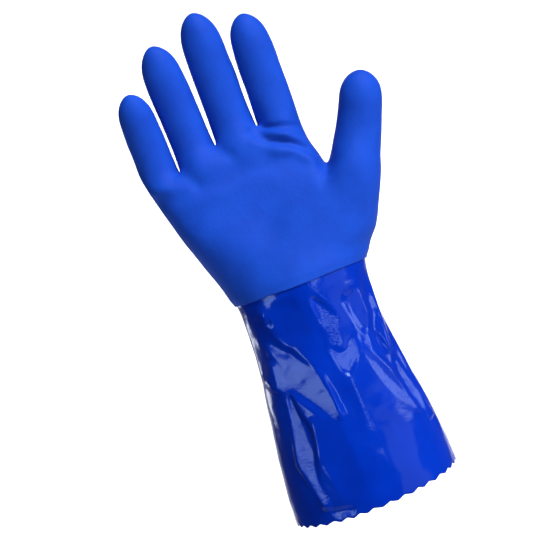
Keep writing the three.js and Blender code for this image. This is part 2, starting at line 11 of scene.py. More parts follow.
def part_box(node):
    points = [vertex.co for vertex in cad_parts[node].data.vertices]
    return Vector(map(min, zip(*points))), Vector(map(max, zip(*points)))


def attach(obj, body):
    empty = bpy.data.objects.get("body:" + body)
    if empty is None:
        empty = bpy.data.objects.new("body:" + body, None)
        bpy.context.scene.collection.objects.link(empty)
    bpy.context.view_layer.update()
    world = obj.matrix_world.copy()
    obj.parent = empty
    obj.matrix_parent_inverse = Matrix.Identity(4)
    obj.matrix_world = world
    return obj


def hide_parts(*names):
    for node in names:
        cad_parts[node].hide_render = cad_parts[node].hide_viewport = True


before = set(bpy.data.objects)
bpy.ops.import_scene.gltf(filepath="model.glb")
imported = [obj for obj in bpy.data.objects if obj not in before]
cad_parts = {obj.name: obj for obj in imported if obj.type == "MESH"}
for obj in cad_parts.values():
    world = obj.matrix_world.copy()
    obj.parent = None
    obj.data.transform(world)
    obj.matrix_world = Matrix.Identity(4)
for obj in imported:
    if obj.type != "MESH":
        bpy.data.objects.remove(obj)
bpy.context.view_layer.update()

bl_info = {
    "name": "PVC gauntlet work glove",
    "version": (1, 0, 0),
    "blender": (4, 5, 0),
    "location": "3D View > Sidebar > Work glove",
    "description": "Builds a PVC coated gauntlet work glove and a plain studio round it",
    "category": "Add Mesh",
}

# The glove stands in the frame's own axes: the palm faces -Y, the thumb is towards +X, the fingers
# point along +Z, and the origin is the middle of the cuff's mouth. Lengths are in metres.
MM = 0.001
HAND_LOW, HAND_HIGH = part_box("hand")
CUFF_LOW, CUFF_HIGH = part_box("gauntlet")
DIP_LINE = HAND_LOW.z  # the height where the hand's coating ends on the gauntlet
LAP = CUFF_HIGH.z - DIP_LINE  # how far the gauntlet runs up under the hand


def length(name, description, default):
    """A property that holds a length in metres."""
    return FloatProperty(
        name=name, description=description, default=default, subtype="DISTANCE", unit="LENGTH"
    )


def share(name, description, default):
    """A property that holds a share from 0 to 1."""
    return FloatProperty(
        name=name, description=description, default=default, min=0, max=1, subtype="FACTOR"
    )


def turn(name, description, degrees):
    """A property that holds an angle, given here in degrees."""
    return FloatProperty(
        name=name,
        description=description,
        default=math.radians(degrees),
        subtype="ANGLE",
        unit="ROTATION",
    )


def colour(name, description, default):
    """A property that holds a linear RGB colour."""
    return FloatVectorProperty(
        name=name, description=description, default=default, size=3, min=0, max=1, subtype="COLOR"
    )


class HandSizes(bpy.types.PropertyGroup):
    """Sizes of the hand's coating."""

    wall: length("Wall", "Thickness of the coating with the fabric under it", 1.4 * MM)
    wrist_width: length("Wrist width", "Width at the dip line", 85.5 * MM)
    wrist_depth: length("Wrist depth", "Depth at the dip line", HAND_HIGH.y - HAND_LOW.y)
    wrist_offset: length("Wrist offset", "The wrist's middle lies towards the thumb", 1.75 * MM)
    palm_length: length("Palm length", "From the dip line to the middle finger's root", 94 * MM)
    palm_depth: length("Palm depth", "Depth of the upper palm", 38 * MM)
    palm_hollow: length("Palm hollow", "How deep the middle of the palm is", 2 * MM)
    edge_thinning: length("Edge thinning", "The coating loses this much at its edge", 0.7 * MM)
    dip_wave: length("Dip wave", "How far the dip line strays", 0.7 * MM)
    knuckle_offset: length("Knuckle offset", "Middle of the four fingers", -15.2 * MM)
    thumb_root_height: length("Thumb root height", "Outer side, above the dip line", 48 * MM)
    thumb_root_reach: length("Thumb root reach", "Outer side, from the axis", 70.5 * MM)
    thumb_crotch_height: length("Thumb crotch height", "Above the dip line", 61.5 * MM)
    thumb_crotch_reach: length("Thumb crotch reach", "From the axis", 41.5 * MM)
    thumb_forward: length("Thumb forward", "The thumb's root lies in front of the palm", 8 * MM)
    thumb_length: length("Thumb length", "From root to tip", 54 * MM)
    thumb_width: length("Thumb width", "Across the thumb's root", 27 * MM)
    thumb_depth: length("Thumb depth", "From front to back", 25 * MM)
    thumb_curl: length("Thumb curl", "The thumb's tip bends forward", 12 * MM)
    thumb_root_lean: turn("Thumb root lean", "Away from the fingers, at the root", 30)
    thumb_tip_lean: turn("Thumb tip lean", "Away from the fingers, at the tip", 17)
    finger_length: length("Finger length", "The middle finger, from root to tip", 76.5 * MM)
    finger_width: length("Finger width", "Across the middle finger", 25.4 * MM)
    finger_depth: length("Finger depth", "From front to back", 23.5 * MM)
    finger_gap: length("Finger gap", "Between two fingers' roots", 1.4 * MM)
    finger_curl: length("Finger curl", "The tips bend towards the palm", 17 * MM)
    web_depth: share("Web depth", "Of a web between two fingers, against a finger's", 0.78)


class GauntletSizes(bpy.types.PropertyGroup):
    """Sizes of the gauntlet."""

    wall: length("Wall", "Thickness of the coated fabric", 1.1 * MM)
    lap: length("Lap", "How far the gauntlet runs up under the hand", LAP)
    lap_gap: length("Lap gap", "Between the gauntlet and the hand's inner side", 0.3 * MM)
    hem_width: length("Hem width", "Across the cuff's mouth", 103 * MM)
    hem_depth: length("Hem depth", "From front to back at the mouth", CUFF_HIGH.y - CUFF_LOW.y)
    hem_slope: length("Hem slope", "The hem is lower at the palm side", 3.2 * MM)
    hem_lean: length("Hem lean", "The hem is higher at the thumb side", 2 * MM)
    waist_width: length("Waist width", "Across the narrowest place", 79 * MM)
    waist_depth: length("Waist depth", "From front to back there", 60 * MM)
    waist_offset: length("Waist offset", "The waist's middle lies towards the thumb", 1 * MM)
    fold_height: length("Fold height", "The highest fold stands this far off the wall", 3.2 * MM)
    tooth_pitch: length("Tooth pitch", "From one tooth of the pinked hem to the next", 8.6 * MM)
    tooth_depth: length("Tooth depth", "From a tooth's tip to the notch beside it", 1.7 * MM)
    tooth_drift: share("Tooth drift", "How unevenly the hem was pinked", 0.16)
    seed: IntProperty(name="Seed", description="For the hem's unevenness", default=7)


class GloveFinish(bpy.types.PropertyGroup):
    """Colours and surfaces of the two coatings."""

    hand_colour: colour("Hand colour", "Matt sandy coating", (0.005, 0.063, 0.525))
    hand_shade: colour("Hand shade", "Its darker patches", (0.004, 0.054, 0.475))
    hand_roughness: share("Hand roughness", "Matt coating", 0.62)
    grain_size: length("Grain size", "Of the sandy coating", 0.8 * MM)
    grain_height: length("Grain height", "Of the sandy coating", 0.1 * MM)
    gauntlet_colour: colour("Gauntlet colour", "Glossy coating", (0.0, 0.027, 0.42))
    gauntlet_shade: colour("Gauntlet shade", "Its deeper patches", (0.0, 0.022, 0.37))
    gauntlet_roughness: share("Gauntlet roughness", "Glossy coating", 0.14)
    wrinkle_size: length("Wrinkle size", "Fine wrinkles across the gauntlet", 1.1 * MM)
    wrinkle_height: length("Wrinkle height", "Of the fine wrinkles", 0.2 * MM)
    inside_colour: colour("Inside colour", "The plain inner side", (0.004, 0.04, 0.3))


class StageLook(bpy.types.PropertyGroup):
    """Floor, backdrop, lights and camera."""

    paper_colour: colour("Paper colour", "Seamless floor and backdrop", (0.9, 0.9, 0.9))
    floor_drop: length("Floor drop", "The floor lies this far below the cuff's mouth", 0.62)
    room_low: share("Room low", "How bright the room is low in front of the glove", 0.03)
    room_high: share("Room high", "How bright the room is above and behind it", 0.14)
    camera_distance: length("Camera distance", "From the glove's palm", 0.9)
    frame_height: length("Frame height", "What the picture covers at the glove", 0.3219)
    aim_x: length("Aim X", "The picture's middle, across", -14.2 * MM)
    aim_z: length("Aim Z", "The picture's middle, up", 146.1 * MM)
    roll: turn("Roll", "The glove leans to the left in the picture", 20.63)


def lerp(a, b, t):
    """The value a share t of the way from a to b."""
    return a + (b - a) * t


def smoothstep(x, low, high):
    """0 below low, 1 above high, and a smooth step between."""
    t = np.clip((x - low) / (high - low), 0, 1)
    return t * t * (3 - 2 * t)


def smooth_table(x, places, values):
    """Values between the rows of a table, on a smooth curve through them."""
    order = np.argsort(places)
    places = np.asarray(places, float)[order]
    values = np.asarray(values, float)[order]
    slopes = np.gradient(values, places)
    x = np.clip(x, places[0], places[-1])
    i = np.clip(np.searchsorted(places, x) - 1, 0, len(places) - 2)
    span = places[i + 1] - places[i]
    t = (x - places[i]) / span
    from_values = values[i] * (1 + 2 * t) * (1 - t) ** 2 + values[i + 1] * t * t * (3 - 2 * t)
    from_slopes = span * t * (1 - t) * (slopes[i] * (1 - t) - slopes[i + 1] * t)
    return from_values + from_slopes


def fullness(u, power):
    """How full a section is at the share u of its width: 0 at both sides, 1 in the middle."""
    away = min(1.0, abs(2 * u - 1))
    return (1 - away**power) ** (1 / power)


# One row for each finger, from the little finger to the index finger. length and width are shares
# of the middle finger's, base is the root's height as a share of the palm's length, lean is in
# degrees away from the thumb, taper is the share of its width that a finger loses at its tip, and
# curl is how far it bends, as a share of the middle finger's.
Finger = namedtuple("Finger", "name length width base lean taper curl")
FINGERS = (
    Finger("little", 0.73, 0.9, 0.876, 0.6, 0.09, 1.1),
    Finger("ring", 0.934, 0.955, 0.945, 2.2, 0.03, 1.05),
    Finger("middle", 1, 1, 1, 0, 0.03, 1),
    Finger("index", 0.93, 0.985, 0.95, -0.8, 0.06, 0.8),
)
WEB_HEIGHTS = (0.92, 1.0, 1.02)  # beside each finger on its thumb side, of the palm's length

# Where a digit's rings lie along it, and where its round tip begins.
RING_PLACES = (0.15, 0.38, 0.61, 0.8, 0.93)
TIP_START = 0.7
DIGIT_ANGLES = [math.radians(a) for a in (225, 270, 315, 0, 45, 90, 135, 180)]

# Rows of the palm, from the dip line to the thumb's crotch and on to the fingers. out is how far a
# side has moved from the wrist (0) to its upper place (1), up is a share of the palm's length, deep
# is the share still taken from the wrist's depth, and pinch narrows the web beside the thumb.
LowerRow = namedtuple("LowerRow", "left_out right_out left_up right_up deep pinch")
LOWER_ROWS = (
    LowerRow(0.21, 0.43, 0.213, 0.172, 0.58, 0),
    LowerRow(0.4, 0.62, 0.355, 0.275, 0.36, 0.06),
    LowerRow(0.57, 0.81, 0.5, 0.39, 0.18, 0.16),
    LowerRow(0.69, 0.99, 0.615, 0.51, 0.07, 0.3),
)
UpperRow = namedtuple("UpperRow", "left_out left_up right_up right_in thin")
UPPER_ROWS = (
    UpperRow(0.78, 0.7, 0.72, 0.58, 0.09),
    UpperRow(0.86, 0.782, 0.8, 0.2, 0.2),
)
PALM_COLUMNS = 9
SIDE_COLUMNS = 12
SHOULDER = 0.15  # a corner column lies this share of a finger's width in from its side
THUMB_FRONT = (0.5, 0.86)  # the thumb's two palm-side columns, across its root

# Sections of the hand: a power of 2 is an ellipse, and a higher one is squarer.
OVAL = 2
LOWER_PALM_POWER = 2.5
UPPER_PALM_POWER = 2.8
LAP_DEPTH = 0.93  # at the lap's upper end, of the wrist's depth
LAP_SPREAD = 0.8  # the little finger's side widens less over the lap than the first row says
CLIMB_START = 0.35  # a lower row climbs to the thumb from this share of its width on
FORWARD_START = 0.55  # and comes forward to the thumb from this share on
PINCH_WIDTH = 0.1  # of the web beside the thumb, as a share of a row's width
UPPER_HOLLOW = 0.5  # above the thumb's crotch, of the palm's hollow
CROTCH_FORWARD = 0.3  # of the thumb's, at its crotch
CORNER_DEPTH = 0.72  # at the outer corners of the fingers' roots, of a finger's depth
ROOT_DEPTH = 1.08  # at the middle of each finger's root

# How far the fingers' root ring hangs below the roots' height, as shares of the palm's length.
FRONT_DROP = 0.02
BACK_DROP = 0.025
BACK_WEB_DROP = 0.05
INDEX_SIDE_DROP = 0.045
LITTLE_SIDE_DROP = 0.02
LITTLE_SIDE_INSET = 0.08  # of the little finger's width

# Shapes of the digits, from root to tip.
PATH_STEP = 0.02  # a digit's direction is taken over this share of it, both ways
CURL_POWER = 1.7
FINGER_TIP_DEPTH = 0.86
THUMB_WIDTHS = (1.1, 0.96)
THUMB_SLIM = 0.6  # the thumb has its upper width from this share of its length on
THUMB_DEPTHS = (1.08, 0.9)

EDGE_BAND = 5 * MM  # the coating thins towards its edge over this height
SMOOTH_LEVELS = 3  # of Subdivision Surface, over the cage


def front_and_back(shares, place):
    """Places round a section of the hand: its front, one side, its back and the other side."""
    front = [place(u, -1) for u in shares]
    back = [place(u, 1) for u in reversed(shares)]
    return [*front, place(1, 0), *back, place(0, 0)]


class Cage:
    """Points and quads of a cage whose smooth surface passes through its points."""

    def __init__(self):
        self.points = []
        self.quads = []

    def ring(self, points):
        """Adds points and returns their numbers."""
        first = len(self.points)
        self.points.extend(Vector(p) for p in points)
        return list(range(first, len(self.points)))

    def join(self, lower, upper):
        """Joins two rings of the same count by quads that face outwards."""
        count = len(lower)
        for i in range(count):
            j = (i + 1) % count
            self.quads.append((lower[i], lower[j], upper[j], upper[i]))

    def weights(self):
        """The matrix that takes the cage's points to their places on the smooth surface.

        Its numbers are the limit weights of Catmull-Clark subdivision, on the rim and inside it.
        """
        count = len(self.points)
        sides = [set() for _ in range(count)]
        corners = [[] for _ in range(count)]
        faces_at = {}
        for quad in self.quads:
            for i in range(4):
                a, b, c = quad[i], quad[(i + 1) % 4], quad[(i + 2) % 4]
                sides[a].add(b)
                sides[b].add(a)
                corners[a].append(c)
                edge = frozenset((a, b))
                faces_at[edge] = faces_at.get(edge, 0) + 1
        matrix = np.zeros((count, count))
        for v in range(count):
            rim = [w for w in sides[v] if faces_at[frozenset((v, w))] == 1]
            if rim:
                matrix[v, v] = 4 / 6
                matrix[v, rim] = 1 / 6
                continue
            n = len(sides[v])
            total = n * (n + 5)
            matrix[v, v] = n * n / total
            matrix[v, list(sides[v])] += 4 / total
            for w in corners[v]:
                matrix[v, w] += 1 / total
        return matrix

    def control_points(self):
        """The points that Subdivision Surface starts from."""
        targets = np.array([tuple(p) for p in self.points])
        return np.linalg.solve(self.weights(), targets)


class HandCage(Cage):
    """The cage of the hand's outer skin: palm, four fingers and thumb in one piece."""

    def __init__(self, sizes):
        super().__init__()
        self.s = sizes
        self.across_the_knuckles()
        self.across_the_wrist()
        self.palm()
        for i, finger in enumerate(FINGERS):
            self.finger(i, finger)
        self.thumb()

    def across_the_knuckles(self):
        """Edges and middles of the four fingers, from the little finger on."""
        s = self.s
        self.widths = [f.width * s.finger_width for f in FINGERS]
        self.knuckle_width = sum(self.widths) + s.finger_gap * (len(FINGERS) - 1)
        self.knuckle_left = s.knuckle_offset - self.knuckle_width / 2
        self.knuckle_right = self.knuckle_left + self.knuckle_width
        self.middles = []
        self.webs = []
        left = self.knuckle_left
        for width in self.widths:
            self.middles.append(left + width / 2)
            self.webs.append(left + width + s.finger_gap / 2)
            left += width + s.finger_gap
        self.columns = []
        for i, middle in enumerate(self.middles):
            corner = self.knuckle_left + SHOULDER * self.widths[0]
            self.columns += [corner if i == 0 else self.webs[i - 1], middle]
        self.columns.append(self.knuckle_right - SHOULDER * self.widths[-1])
        self.column_shares = [(x - self.knuckle_left) / self.knuckle_width for x in self.columns]

    def across_the_wrist(self):
        """Columns of the wrist's oval and of the row at the thumb's crotch."""
        s = self.s
        steps = range(1, SIDE_COLUMNS)
        self.wrist_shares = [(1 - math.cos(math.pi * k / SIDE_COLUMNS)) / 2 for k in steps]
        self.wrist_left = s.wrist_offset - s.wrist_width / 2
        self.wrist_right = s.wrist_offset + s.wrist_width / 2
        left = lerp(self.wrist_left, self.knuckle_left, LOWER_ROWS[-1].left_out)
        self.crotch_share = (s.thumb_crotch_reach - left) / (s.thumb_root_reach - left)
        self.split_shares = [u * self.crotch_share for u in self.column_shares]
        self.split_shares += [lerp(self.crotch_share, 1, u) for u in THUMB_FRONT]

    def wrist_sides(self, share):
        """Both sides of the wrist's oval, a share of the way up the lap."""
        s = self.s
        first = LOWER_ROWS[0]
        spread = min(1, LAP / (first.left_up * s.palm_length)) * share
        left = lerp(self.wrist_left, self.knuckle_left, first.left_out * spread * LAP_SPREAD)
        right = lerp(self.wrist_right, s.thumb_root_reach, first.right_out * spread)
        return left, right

    def wrist_half_depth(self, share):
        """Half the depth of the wrist's oval, a share of the way up the lap."""
        return self.s.wrist_depth * lerp(1, LAP_DEPTH, share) / 2

    def wrist_ring(self, up, share):
        """The wrist's oval at a height above the dip line, a share of the way up the lap."""
        left, right = self.wrist_sides(share)
        half = self.wrist_half_depth(share)

        def place(u, side):
            return (lerp(left, right, u), side * half * fullness(u, OVAL), DIP_LINE + up)

        return front_and_back(self.wrist_shares, place)

    def lower_ring(self, row, blend):
        """A ring of the lower palm with the thumb's root in it."""
        s = self.s
        left = lerp(self.wrist_left, self.knuckle_left, row.left_out)
        right = lerp(self.wrist_right, s.thumb_root_reach, row.right_out)
        power = lerp(OVAL, LOWER_PALM_POWER, blend)

        def place(u, side):
            up = lerp(row.left_up, row.right_up, smoothstep(u, CLIMB_START, 1)) * s.palm_length
            half = lerp(s.palm_depth, s.wrist_depth, row.deep) / 2
            web = 1 - row.pinch * math.exp(-(((u - self.crotch_share) / PINCH_WIDTH) ** 2))
            hollow = 0
            if side < 0:
                hollow = s.palm_hollow * blend * fullness(min(1, u / self.crotch_share), OVAL)
            middle = -s.thumb_forward * smoothstep(u, FORWARD_START, 1) * blend
            depth = half * fullness(u, power) * web - hollow
            return (lerp(left, right, u), middle + side * depth, DIP_LINE + up)

        pairs = zip(self.wrist_shares, self.split_shares)
        shares = [lerp(wrist, split, blend) for wrist, split in pairs]
        return front_and_back(shares, place)

    def upper_ring(self, row):
        """A ring of the upper palm, from the thumb's crotch to the fingers."""
        s = self.s
        left = lerp(self.wrist_left, self.knuckle_left, row.left_out)
        right = lerp(self.knuckle_right, s.thumb_crotch_reach, row.right_in)

        def place(u, side):
            up = lerp(row.left_up, row.right_up, u) * s.palm_length
            hollow = s.palm_hollow * UPPER_HOLLOW * fullness(u, OVAL) if side < 0 else 0
            full = (1 - row.thin) * fullness(u, UPPER_PALM_POWER)
            depth = s.palm_depth / 2 * full - hollow
            return (lerp(left, right, u), side * depth, DIP_LINE + up)

        return front_and_back(self.column_shares, place)

    def root_height(self, i):
        """Height of a finger's root."""
        return DIP_LINE + FINGERS[i].base * self.s.palm_length

    def root_point(self, k, side):
        """A point of the ring where the fingers part."""
        s = self.s
        i = min(len(FINGERS) - 1, k // 2)
        is_web = k % 2 == 0 and 0 < k < PALM_COLUMNS - 1
        is_corner = k in (0, PALM_COLUMNS - 1)
        full = s.web_depth if is_web else CORNER_DEPTH if is_corner else ROOT_DEPTH
        drop = FRONT_DROP if side < 0 else BACK_WEB_DROP if is_web else BACK_DROP
        height = self.web_height(k // 2 - 1) if is_web else self.root_height(i)
        return (self.columns[k], side * full * s.finger_depth / 2, height - drop * s.palm_length)

    def web_height(self, i):
        """Height of the web on a finger's thumb side."""
        return DIP_LINE + WEB_HEIGHTS[i] * self.s.palm_length

    def palm(self):
        """Rings from the dip line up to the fingers, parted at the thumb's crotch."""
        s = self.s
        edge = self.ring(self.wrist_ring(0, 0))
        lap = self.ring(self.wrist_ring(LAP, 1))
        self.join(edge, lap)
        below = lap
        for i, row in enumerate(LOWER_ROWS):
            ring = self.ring(self.lower_ring(row, (i + 1) / len(LOWER_ROWS)))
            self.join(below, ring)
            below = ring
        crotch_height = DIP_LINE + s.thumb_crotch_height
        web = self.ring([(s.thumb_crotch_reach, -s.thumb_forward * CROTCH_FORWARD, crotch_height)])
        back = len(below) - 1 - PALM_COLUMNS
        self.thumb_root = [*below[PALM_COLUMNS - 1 : back + 1], *web]
        palm = [*below[:PALM_COLUMNS], *web, *below[back:]]
        for row in UPPER_ROWS:
            ring = self.ring(self.upper_ring(row))
            self.join(palm, ring)
            palm = ring
        last = len(FINGERS) - 1
        columns = range(len(self.columns))
        right = (self.knuckle_right, 0, self.root_height(last) - INDEX_SIDE_DROP * s.palm_length)
        left = (
            self.knuckle_left + LITTLE_SIDE_INSET * self.widths[0],
            0,
            self.root_height(0) - LITTLE_SIDE_DROP * s.palm_length,
        )
        front = [self.root_point(k, -1) for k in columns]
        rear = [self.root_point(k, 1) for k in reversed(columns)]
        self.root = self.ring([*front, right, *rear, left])
        self.join(palm, self.root)
        self.web_middles = self.ring(
            [(self.webs[i], 0, self.web_height(i)) for i in range(len(WEB_HEIGHTS))]
        )

    def grow(self, root, path, width, depth):
        """Rings and the round tip of one digit above its root ring, along path(t)."""
        last = root
        for t in RING_PLACES:
            along = (path(min(1, t + PATH_STEP)) - path(t - PATH_STEP)).normalized()
            side = Vector((1, 0, 0)) - along * along.x
            side.normalize()
            back = along.cross(side)
            over = (t - TIP_START) / (1 - TIP_START)
            full = 1 if t < TIP_START else math.sqrt(1 - over**2)
            ring = self.ring(
                path(t)
                + side * (math.cos(a) * full * width(t) / 2)
                + back * (math.sin(a) * full * depth(t) / 2)
                for a in DIGIT_ANGLES
            )
            self.join(last, ring)
            last = ring
        (tip,) = self.ring([path(1)])
        a, b, c, d, e, f, g, h = last
        self.quads += [(h, a, b, tip), (b, c, d, tip), (d, e, f, tip), (f, g, h, tip)]

    def finger(self, i, finger):
        """One finger, from the root ring it shares with its neighbours."""
        s = self.s
        left_side = len(self.root) - 1

        def back_of(k):
            return self.root[left_side - 1 - k]

        last = len(FINGERS) - 1
        right = self.root[PALM_COLUMNS] if i == last else self.web_middles[i]
        left = self.root[left_side] if i == 0 else self.web_middles[i - 1]
        front = self.root[2 * i : 2 * i + 3]
        ring = [*front, right, back_of(2 * i + 2), back_of(2 * i + 1), back_of(2 * i), left]
        long = finger.length * s.finger_length
        lean = math.tan(math.radians(finger.lean))

        def path(t):
            curled = finger.curl * s.finger_curl * max(0, t) ** CURL_POWER
            return Vector((self.middles[i] - lean * long * t, -curled, self.root_height(i) + long * t))

        def narrow(t):
            return 1 - finger.taper * t * t

        self.grow(
            ring,
            path,
            lambda t: self.widths[i] * narrow(t),
            lambda t: s.finger_depth * finger.width * narrow(t) * lerp(1, FINGER_TIP_DEPTH, t),
        )

    def thumb(self):
        """The thumb leans out of the palm and bends a little forward."""
        s = self.s
        start = Vector(
            (
                (s.thumb_crotch_reach + s.thumb_root_reach) / 2,
                -s.thumb_forward,
                DIP_LINE + (s.thumb_crotch_height + s.thumb_root_height) / 2,
            )
        )

        def leaning(angle):
            return Vector((math.sin(angle), 0, math.cos(angle))) * (s.thumb_length / 2)

        bend = start + leaning(s.thumb_root_lean)
        tip = bend + leaning(s.thumb_tip_lean)
        tip.y -= s.thumb_curl

        def path(t):
            t = max(0, t)
            return start * (1 - t) ** 2 + bend * (2 * t * (1 - t)) + tip * t * t

        self.grow(
            self.thumb_root,
            path,
            lambda t: s.thumb_width * lerp(*THUMB_WIDTHS, smoothstep(t, 0, THUMB_SLIM)),
            lambda t: s.thumb_depth * lerp(*THUMB_DEPTHS, t),
        )


# Soft forms of the hand, each along a line of places. A place is given across the knuckles, as a
# share of their width from the little finger's side, and up from the dip line, as a share of the
# palm's length. width is half the form's width and rise its height, both in mm. side is -1 on the
# palm, where most of them lie, and 1 on the back.
Form = namedtuple("Form", "name across up width rise side", defaults=[-1])
FORMS = (
    Form("thumb_ball", (0.98, 1.12), (0.3, 0.52), 20, 5.5),
    Form("little_ball", (0.3, 0.2), (0.28, 0.5), 17, 3.5),
    Form("heel_hollow", (0.6, 0.62), (0.22, 0.42), 11, -1.6),
    Form("finger_pads", (0.16, 0.34), (0.8, 0.87), 8, 1.8),
    Form("middle_pad", (0.46, 0.66), (0.89, 0.9), 8, 1.6),
    Form("index_pad", (0.82, 0.98), (0.82, 0.75), 7, 2.2),
    Form("little_knuckle", (0.11, 0.13), (0.8, 0.85), 9, 1.6, 1),
    Form("ring_knuckle", (0.35, 0.36), (0.86, 0.92), 9, 1.8, 1),
    Form("middle_knuckle", (0.61, 0.61), (0.9, 0.96), 9, 2, 1),
    Form("index_knuckle", (0.87, 0.86), (0.84, 0.9), 9, 1.8, 1),
    Form("back_hollow", (1.02, 1.08), (0.5, 0.62), 12, -2.2, 1),
)
MAIN_CREASE = ((0.75, 0.79, 0.88, 0.98, 1.04), (0.99, 0.945, 0.9, 0.82, 0.75))
MAIN_GROOVE = ((0.7, 0.79, 0.897, 0.977, 1.05, 1.07), (0.99, 0.9, 0.845, 0.76, 0.68, 0.64))
CREASES = (
    Form("index_root_dent", (0.75, 0.765), (1.12, 1.0), 4, -3),
    Form("main_crease", *MAIN_CREASE, 2.6, 2.6),
    Form("main_groove", *MAIN_GROOVE, 2.8, -2.6),
    Form("upper_groove", (0.745, 0.86, 0.985), (1.01, 0.965, 0.925), 1.8, -2.1),
    Form("lower_crease", (0.7, 0.8, 0.91, 1.0), (0.93, 0.835, 0.78, 0.69), 3.4, 1.6),
    Form("ring_web_crease", (0.475, 0.54), (1.0, 0.9), 3.4, -1.3),
    Form("little_web_crease", (0.25, 0.3), (0.92, 0.8), 3.8, -1.2),
)
FORMS_START = 5  # the forms reach their full height this many laps above the dip line

# How dipped coatings settle in soft waves. size is how far apart they are and height how high, and
# place is where in the noise they start.
Waves = namedtuple("Waves", "size height place")
HAND_WAVES = Waves(15 * MM, 0.35 * MM, (3.1, 0.4, 7.7))
CUFF_WAVES = Waves(11 * MM, 0.25 * MM, (9.4, 2.2, 5.1))

# The dip line strays in long waves with a ripple on them, each read at its own depth of the noise.
DIP_WAVE_SIZE = 22 * MM
DIP_WAVE_DEPTH = 4.2
DIP_RIPPLE_SIZE = 5 * MM
DIP_RIPPLE_DEPTH = 8.6
DIP_RIPPLE = 0.3  # of the long waves' height


def vertex_array(mesh, kind="co"):
    """Places or normals of a mesh's vertices, as rows."""
    values = np.zeros(len(mesh.vertices) * 3)
    if kind == "co":
        mesh.vertices.foreach_get("co", values)
    else:
        mesh.vertex_normals.foreach_get("vector", values)
    return values.reshape(-1, 3)


def set_vertices(mesh, places):
    """Moves a mesh's vertices to new places."""
    mesh.vertices.foreach_set("co", np.ascontiguousarray(places).ravel())
    mesh.update()


def distance_to_line(places, line):
    """How far each place is from a line of points."""
    best = np.full(len(places), np.inf)
    for a, b in zip(line[:-1], line[1:]):
        step = b - a
        t = np.clip((places - a) @ step / (step @ step), 0, 1)
        best = np.minimum(best, np.linalg.norm(places - (a + t[:, None] * step), axis=1))
    return best


def raise_forms(mesh, cage, forms):
    """Raises pads, hollows and creases where the skin faces them, away from the dip line."""
    s = cage.s
    places = vertex_array(mesh)
    normals = vertex_array(mesh, "normal")
    flat = places[:, [0, 2]]
    away_from_edge = smoothstep(places[:, 2] - DIP_LINE, LAP, FORMS_START * LAP)
    moved = places.copy()
    for form in forms:
        across = cage.knuckle_left + np.array(form.across) * cage.knuckle_width
        up = DIP_LINE + np.array(form.up) * s.palm_length
        away = distance_to_line(flat, np.stack([across, up], axis=1))
        facing = np.clip(normals[:, 1] * form.side, 0, None) * away_from_edge
        rise = form.rise * MM * facing * np.exp(-((away / (form.width * MM)) ** 2))
        moved[:, 1] += form.side * rise
    set_vertices(mesh, moved)


def roughen(mesh, waves):
    """Moves a skin in and out along its normals by soft noise."""
    places = vertex_array(mesh)
    normals = vertex_array(mesh, "normal")
    shift = Vector(waves.place)
    wave = np.array([noise.noise(Vector(p) / waves.size + shift) for p in places])
    set_vertices(mesh, places + normals * (wave * waves.height)[:, None])


def new_object(name, data):
    """A new object with that mesh, light or camera, in the scene."""
    made = bpy.data.objects.new(name, data)
    bpy.context.scene.collection.objects.link(made)
    return made


def settle(made):
    """Turns what an object's modifiers make into its plain mesh and removes them."""
    evaluated = made.evaluated_get(bpy.context.evaluated_depsgraph_get())
    mesh = bpy.data.meshes.new_from_object(evaluated)
    made.modifiers.clear()
    old = made.data
    made.data = mesh
    bpy.data.meshes.remove(old)
    mesh.name = made.name
    return mesh


RIM_ROWS = 3  # rows of points round a wall's edge


def give_wall(made, thickness, kept=None):
    """Gives a quad skin its inner side, in the second material, and a rounded rim between them.

    kept names a number at each point that the new mesh takes over.
    """
    mesh = made.data
    skin = vertex_array(mesh)
    normals = vertex_array(mesh, "normal")
    inner = skin - normals * np.broadcast_to(thickness, len(skin))[:, None]
    corners = np.zeros(len(mesh.loops), int)
    mesh.loops.foreach_get("vertex_index", corners)
    quads = corners.reshape(-1, 4)
    edges = {(a, b) for quad in quads.tolist() for a, b in zip(quad, quad[1:] + quad[:1])}
    rim = [(a, b) for a, b in sorted(edges) if (b, a) not in edges]
    outward = np.zeros_like(skin)
    for a, b in rim:
        side = np.cross(skin[b] - skin[a], normals[a])
        outward[a] += side
        outward[b] += side
    points = [skin, inner]
    numbers = sorted({a for a, _ in rim})
    rows = [dict(zip(numbers, numbers))]
    middle = (skin[numbers] + inner[numbers]) / 2
    radius = skin[numbers] - middle
    size = np.linalg.norm(radius, axis=1)[:, None]
    away = outward[numbers]
    away /= np.linalg.norm(away, axis=1)[:, None]
    for k in range(1, RIM_ROWS + 1):
        angle = math.pi * k / (RIM_ROWS + 1)
        first = 2 * len(skin) + (k - 1) * len(numbers)
        points.append(middle + radius * math.cos(angle) + away * size * math.sin(angle))
        rows.append({v: first + i for i, v in enumerate(numbers)})
    rows.append({v: v + len(skin) for v in numbers})
    faces = quads.tolist()
    for upper, lower in zip(rows[:-1], rows[1:]):
        faces += [(upper[b], upper[a], lower[a], lower[b]) for a, b in rim]
    outer_count = len(faces)
    faces += (quads[:, ::-1] + len(skin)).tolist()
    walled = bpy.data.meshes.new(made.name)
    walled.from_pydata(np.concatenate(points).tolist(), [], faces)
    for material in mesh.materials:
        walled.materials.append(material)
    inside = np.arange(len(faces)) >= outer_count
    walled.polygons.foreach_set("material_index", inside.astype(np.int32))
    walled.polygons.foreach_set("use_smooth", [True] * len(faces))
    walled.update()
    if kept:
        values = np.zeros(len(skin))
        mesh.attributes[kept].data.foreach_get("value", values)
        values = np.concatenate([values, values, *[values[numbers]] * RIM_ROWS])
        walled.attributes.new(kept, "FLOAT", "POINT").data.foreach_set("value", values)
    made.data = walled
    bpy.data.meshes.remove(mesh)


